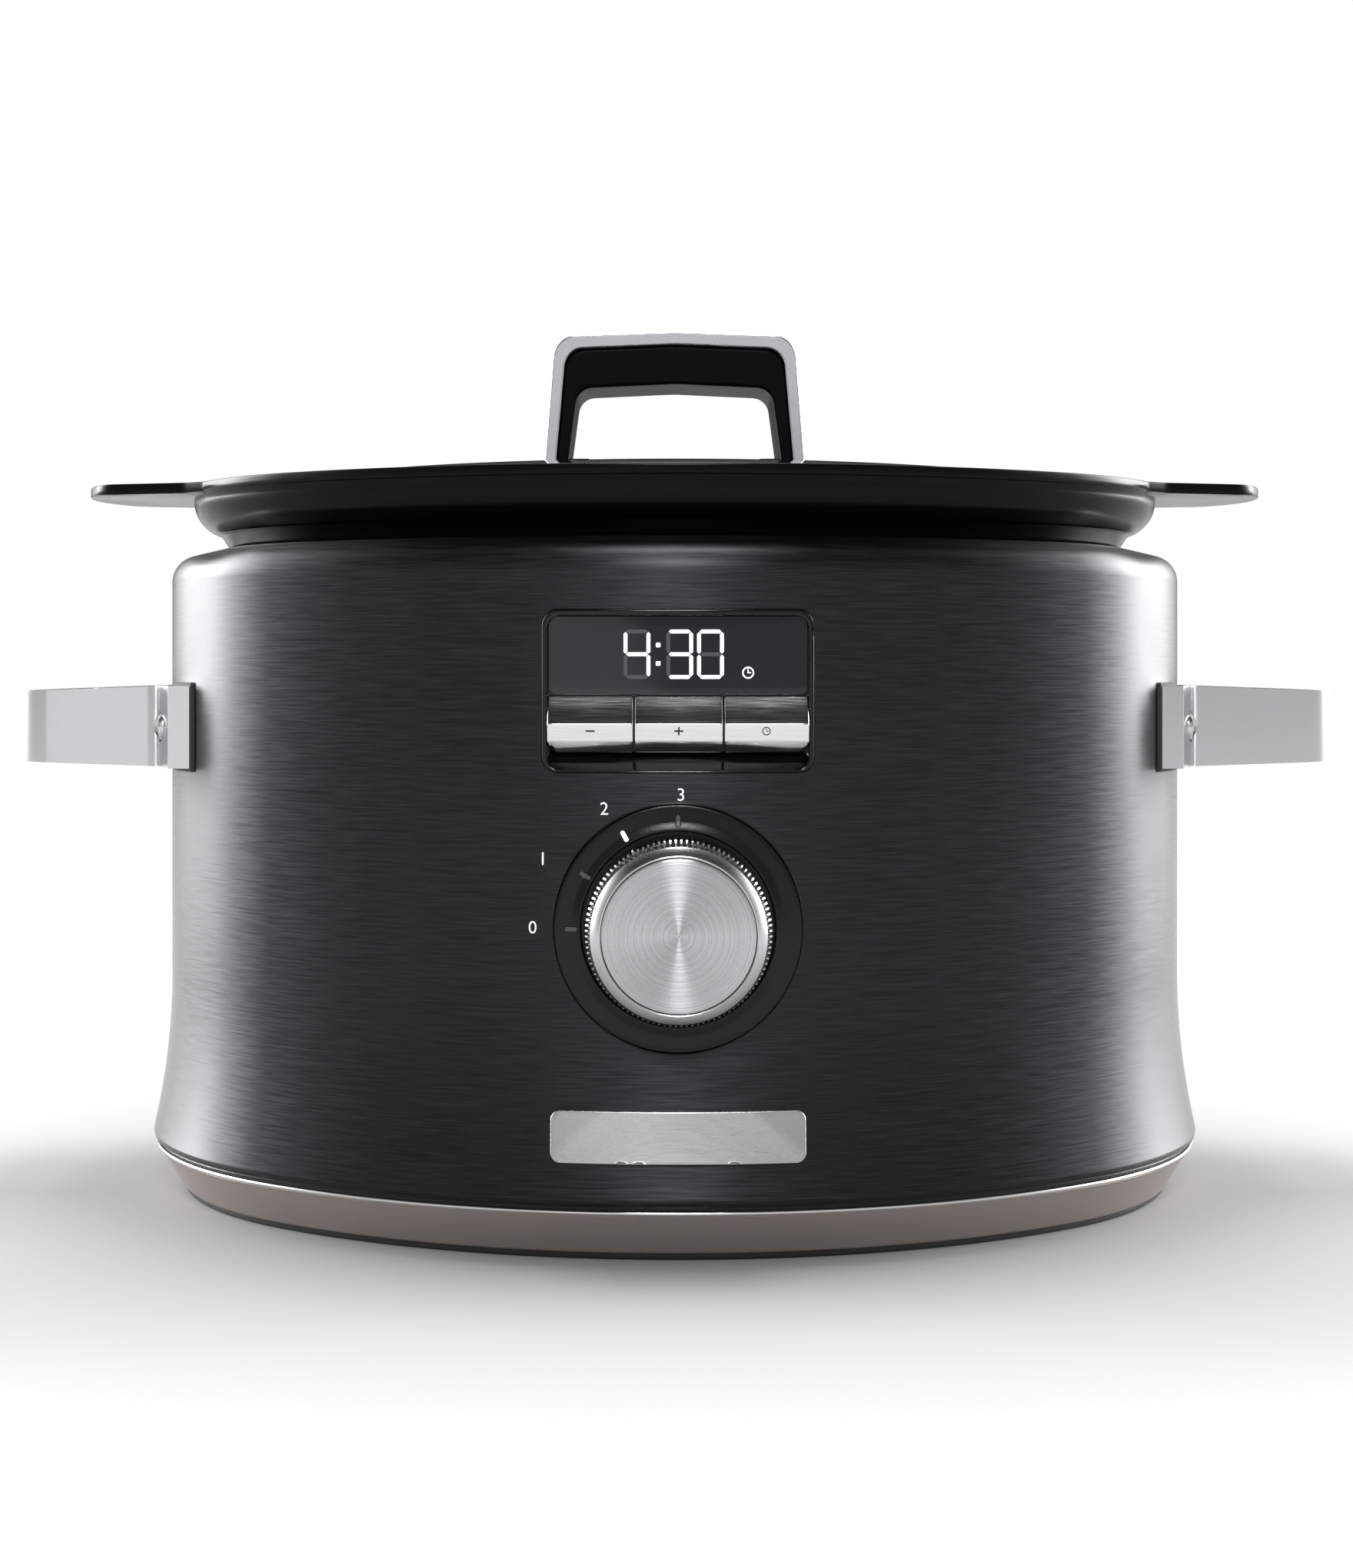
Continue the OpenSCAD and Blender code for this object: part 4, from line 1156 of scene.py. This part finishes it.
side_handle("handle_loop_left", -1, "side_handle_left")
side_handle("handle_loop_right", 1, "side_handle_right")

screw_section = [
    (0, 150), (2.4, 150), (2.4, 164.7), (4.5, 164.7), (4.6, 164.9), (4.6, 166.2),
    (4.3, 166.8), (3.6, 167.0), (2.4, 167.0), (2.2, 166.8), (2.2, 165.6), (0, 165.6)]
nut_section = [(0, 149.4), (4.6, 149.4), (4.6, 152.9), (0, 152.9)]
screws = []
for side in (-1, 1):
    for y in (-FOOT_Y, FOOT_Y):
        screws.append(turn("screw", screw_section, (0, y, SIDE_Z), (side, 0, 0), 40))
        screws.append(turn("nut", nut_section, (0, y, SIDE_Z), (side, 0, 0), 6, sharp=20))
place(join("handle_fixings", screws), "housing", "steel", "handle_screws")

# ---- pot ----

POT_PLAN = plan_samples(150)
FLANGE = -6.0
FLANGE_T = 3.3
GRIP_REACH = 198.4

# Half of a grip's outline about the end arc's centre: a bulged tip, a rounded corner, and a side that runs
# into the flange. An arc of TIP_R takes the place of the outline's apex.
TIP_R = 60.0
TIP_OVER, TIP_BACK, TIP_CORNER = 6.8, 8.8, 32
JOIN_Y = 47.0
join_x = math.sqrt((END_R + FLANGE) ** 2 - JOIN_Y ** 2)
grip_corners = rounded([
    (GRIP_REACH + TIP_OVER - END_CX, 0, 0), (GRIP_REACH - TIP_BACK - END_CX, TIP_CORNER, 12),
    (161 - END_CX, 40.6, 9), (join_x, JOIN_Y, 0)], 10, False)
tip_turn = math.degrees(math.atan2(TIP_OVER + TIP_BACK, TIP_CORNER))
GRIP_OUTLINE = arc(GRIP_REACH - TIP_R - END_CX, 0, TIP_R, 0, tip_turn, 10) + grip_corners[1:]


def grip_offset(s):
    """How far the pot's edge lies outward at this plan sample: the flange, or a grip with rounded corners."""
    _, cy, r, a = s
    if cy != 0:
        return FLANGE
    ang = abs(math.atan2(math.sin(a), abs(math.cos(a))))
    best = r + FLANGE
    # Ray from the arc's centre against the grip's outline
    c, sn = math.cos(ang), math.sin(ang)
    for (x0, y0), (x1, y1) in zip(GRIP_OUTLINE, GRIP_OUTLINE[1:]):
        den = c * (y1 - y0) - sn * (x1 - x0)
        if abs(den) < 1e-9:
            continue
        t = (x0 * (y1 - y0) - y0 * (x1 - x0)) / den
        u = (x0 * sn - y0 * c) / den
        if t > 0 and -1e-6 <= u <= 1 + 1e-6:
            best = max(best, t)
    return best - r


neck_arc = arc(-19.4, 228.6, 12.2, -66, 2, 10)


def pot_section(s):
    """The pot's outside up to the neck, then the lip or grip, and the inside down to the floor."""
    e = grip_offset(s)
    t = RIM_TOP
    grip = min(max((e - FLANGE) / 6.0, 0), 1)
    under = t - FLANGE_T - 0.2 * grip
    low = neck_arc[-1][0]
    outer = [
        (-60, POT_BOTTOM),
        *arc(-39.5, 54, 18, -90, 0, 10),
        (-20.6, 150), (-20.2, 200), (-19.2, BODY_TOP),
        (-16.2, 217.0), (-15.55, 217.05), (-15.4, 217.35),
        *neck_arc,
    ]
    lip = [
        (low + (e - low) * 0.5, under + 0.02), (e - 0.6, under), (e - 0.18, under + 0.18), (e, under + 0.6),
        (e, t - 0.8), (e - 0.12, t - 0.35), (e - 0.4, t - 0.08), (e - 0.8, t), ((e - 8.4) / 2, t),
        (-8.6, t), (-9.0, t - 0.15), (-9.2, t - 0.8), (-10.6, 225), (-11.0, 223.2), (-11.6, 222.8),
        (-17.2, 222.8), (-17.8, 222.6), (-20.2, 220.4), (-21.6, 219.0), (-22.8, 206.5), (-23.4, 150),
        *arc(-39.5, 54.9, 15.4, 0, -90, 10),
        (-60, 39.5),
    ]
    return outer + lip


pot = sweep("pot_shell", pot_section, POT_PLAN, closed=False, sharp=35)
place(pot, "pot", "pot_black", "pot")

# ---- lid ----


def dome_z(grow, drop=0.0):
    x = max(grow - LID_FLAT, 0)
    return LID_TOP - DOME_R + math.sqrt((DOME_R - drop) ** 2 - x * x)


dome_steps = [-14.3 - 85.7 * k / 22 for k in range(23)]
glass_section = (
    [(LID_FLAT, LID_TOP - GLASS_T)] + [(g, dome_z(g, GLASS_T)) for g in reversed(dome_steps[:-1])]
    + [(-14.0, dome_z(-14.0, GLASS_T) + 0.3), (-14.0, dome_z(-14) - 0.3)]
    + [(g, dome_z(g)) for g in dome_steps]
)
glass = sweep("lid_dome", glass_section, closed=False)
# Two screw holes and the vent: x, y, radius
GLASS_HOLES = ((-33.5, 0, 3), (33.5, 0, 3), (30, 53, 4))
cut(glass, [turn("bore", [(0, 200), (r, 200), (r, 260), (0, 260)], (x, y, 0), (0, 0, 1), 40)
            for x, y, r in GLASS_HOLES])
tidy_mesh(glass.data)
place(glass, "lid", "lid_glass", "lid_glass")

rim = sweep("lid_band", rounded([
    (-18, 222.8, 0.2), (-13.1, 222.8, 0.3), (-12.9, 228.4, 0.3), (-13.4, 229.2, 0.3),
    (-17.6, dome_z(-17.6) + 0.35, 0.2), (-18, dome_z(-18) - 1.0, 0)], 4))
place(rim, "lid", "steel", "lid_rim", look="bright_trim")


def arch(k, top_k, low):
    """Outline of the lid handle, k inside its outer face and top_k below its crown."""
    top = HANDLE_TOP - top_k
    side_top = top - 1.5
    foot = 43.7 - k + (LID_TOP - low) * 3.4 / 36
    corner = 40.3 - k
    r = 7.7 - k / 4
    corners = [(foot, low, 0), (corner, side_top, r), (0, top, 60), (-corner, side_top, r), (-foot, low, 0)]
    return rounded(corners, 10, False)


def band_y(name, outer, inner, depth):
    """A strap between two open outlines with the same number of points, depth from front to back."""
    d = depth / 2
    return tube(name, [
        ((x, -d, z), (x, d, z), (ix, d, iz), (ix, -d, iz)) for (x, z), (ix, iz) in zip(outer, inner)], 30)


strap = band_y("lid_strap", arch(0, 0, LID_TOP), arch(3.9, 4.4, LID_TOP), 38)
soften(strap, 0.7, 3, 40)
place(strap, "lid", "handle_metal", "lid_handle", look="lid_strap")
grip = band_y("lid_grip_moulding", arch(3.95, 4.45, LID_TOP), arch(7.9, 17.4, LID_TOP), 36)
soften(grip, 1.1, 4, 40)
place(grip, "lid", "black_plastic", "lid_grip")
pads = join("grip_feet", [
    prism_y("pad", rrect(side * 33, LID_TOP + 1.15, 9, 3.1, 0.9), -9, 9) for side in (-1, 1)])
soften(pads, 0.5)
place(pads, "lid", "black_plastic")

# ---- back ----

# (radius, distance behind the back wall)
gland_section = [
    (3.6, -9), (7.6, -9), (7.9, -8.6), (7.9, 3.0), (10.2, 3.0), (10.5, 3.4),
    (10.5, 5.2), (10.2, 5.9), (9.4, 6.4), (5.2, 6.5), (4.2, 6.3), (3.6, 5.7)]
gland = turn("gland_bush", [(r, t + HALF_D) for r, t in gland_section], (0, 0, GLAND_Z), (0, 1, 0), 72, True)
place(gland, "housing", "black_rubber", "cord_gland")

# ---- the CAD solids that stay ----

KEPT = {
    "black_plastic": ("base_plate", "upper_collar"),
    "black_rubber": ("handle_gaskets",),
    "circuit_board": ("display_board", "encoder_board", "power_board", "terminal_block"),
    "component_black": ("display_module", "tact_switches", "power_relay"),
    "copper_winding": ("transformer",),
    "insulation": ("insulation_jacket", "thermal_fuse", "tick_lamps", "ribbon_cable"),
    "liner_steel": ("inner_liner", "heat_shield"),
    "mica": ("heater_band",),
    "silicone": ("pot_rest_pads", "lid_washers"),
    "steel": (
        "base_screws", "heater_terminals", "temperature_sensor", "rotary_encoder", "handle_brackets",
        "lid_screws", "vent_grommet"),
}
for look, names in KEPT.items():
    for name in names:
        for material_slot in nodes[name].material_slots:
            material_slot.material = M[look]

# ---- floor, light and camera: metres ----

FLOOR_HALF = 12.0
FLOOR_DROP = 0.0003
# The floor glows from GLOW_START outward and is brightest from GLOW_END: painted light, which leaves painted
# shade on the floor round the object
GLOW_START, GLOW_END, GLOW = 0.12, 0.42, 0.45


def backdrop_material():
    """Pale grey under the object, fading to the white of the backdrop through painted light: a glow that
    grows with distance from the object, so the floor round it stays darker as painted shade.
    """
    p = Paint("floor", (0.26, 0.26, 0.26), 0.8)
    p.vary(p.noise(3.0), 0.02, 0.004)
    coords = p.node("ShaderNodeTexCoord")
    # Painted light: emission grows with distance from the object, leaving painted shade close round it
    distance = p.vector_math("LENGTH", coords.outputs["Object"])
    glow = p.spread(distance, GLOW_START, GLOW_END, 0.0, GLOW)
    p.link(glow, p.shader.inputs["Emission Strength"])
    return p.done(Specular_IOR_Level=0.2, Emission_Color=(1, 1, 1, 1))


floor_mesh = bpy.data.meshes.new("floor")
floor_corners = ((-1, -1), (1, -1), (1, 1), (-1, 1))
floor_mesh.from_pydata(
    [Vector((x * FLOOR_HALF, y * FLOOR_HALF, -FLOOR_DROP)) for x, y in floor_corners], [], [(0, 1, 2, 3)])
floor = add("floor", floor_mesh)
floor_mesh.materials.append(backdrop_material())


def area(name, where, target, size, power):
    light = bpy.data.lights.new(name, "AREA")
    light.shape = "RECTANGLE"
    light.size, light.size_y = size
    light.energy = power
    obj = add(name, light)
    obj.location = where
    obj.rotation_euler = (Vector(target) - Vector(where)).to_track_quat("-Z", "Y").to_euler()
    obj.visible_camera = False
    return obj


area("top_box", (0, 0.1, 1.5), (0, 0, 0.1), (0.34, 0.5), 17)
area("front_box", (0, -1.7, 1.25), (0, 0, 0.1), (0.40, 0.26), 16)
# A card that the display window mirrors in its left half
CARD_X, CARD_Z, CARD_TILT = -0.603, 0.047, 13.4
card = area("left_card", (CARD_X, -3.0, CARD_Z), (CARD_X, 0, CARD_Z), (1.2, 1.2), 2.5)
card.rotation_euler.rotate_axis("Z", math.radians(CARD_TILT))

# Brightness of the room by the direction's Y, from the front (0) to the back (1)
ROOM_STOPS = (
    (0.0, 0.018), (0.28, 0.018), (0.345, 0.027), (0.45, 0.085), (0.565, 0.37),
    (0.69, 0.80), (0.83, 0.34), (0.915, 0.065), (0.965, 0.006), (1.0, 0.001))


def studio(world):
    """White for the camera. For everything else a room that is dark in front and behind, bright between."""
    world.use_nodes = True
    tree = world.node_tree
    tree.nodes.clear()

    def node(kind, **values):
        n = tree.nodes.new("ShaderNode" + kind)
        for key, value in values.items():
            n.inputs[key.replace("_", " ")].default_value = value
        return n

    def link(a, b):
        tree.links.new(a, b)

    split = node("SeparateXYZ")
    link(node("TexCoord").outputs["Generated"], split.inputs[0])
    reach = node("MapRange", From_Min=-1)
    link(split.outputs["Y"], reach.inputs["Value"])
    ramp = node("ValToRGB")
    ramp.color_ramp.interpolation = "EASE"
    elements = ramp.color_ramp.elements
    while len(elements) < len(ROOM_STOPS):
        elements.new(0.5)
    for element, (at, value) in zip(elements, ROOM_STOPS):
        element.position = at
        element.color = (value, value, value, 1)
    link(reach.outputs["Result"], ramp.inputs["Fac"])
    # By the direction's Z: full strength below 0.35, weak above 0.75
    low_sky = node("MapRange", From_Min=0.75, From_Max=0.35, To_Min=1.6, To_Max=30.0)
    low_sky.interpolation_type = "SMOOTHSTEP"
    link(split.outputs["Z"], low_sky.inputs["Value"])
    room = node("Background")
    link(ramp.outputs["Color"], room.inputs["Color"])
    link(low_sky.outputs["Result"], room.inputs["Strength"])
    choose = node("MixShader")
    link(node("LightPath").outputs["Is Camera Ray"], choose.inputs[0])
    link(room.outputs[0], choose.inputs[1])
    link(node("Background", Color=(1, 1, 1, 1)).outputs[0], choose.inputs[2])
    link(choose.outputs[0], node("OutputWorld").inputs[0])


scene.world = bpy.data.worlds.new("studio")
studio(scene.world)

scene.view_settings.view_transform = "Standard"

cam = bpy.data.cameras.new("camera")
cam.lens = 57.6
cam.sensor_width = 36.0
cam.shift_x = 0.0154
cam.shift_y = -0.0784
camera = add("camera", cam)
camera.location = (-0.0075, -0.860, 0.175)
camera.rotation_euler = (math.radians(90), 0, 0)
scene.camera = camera
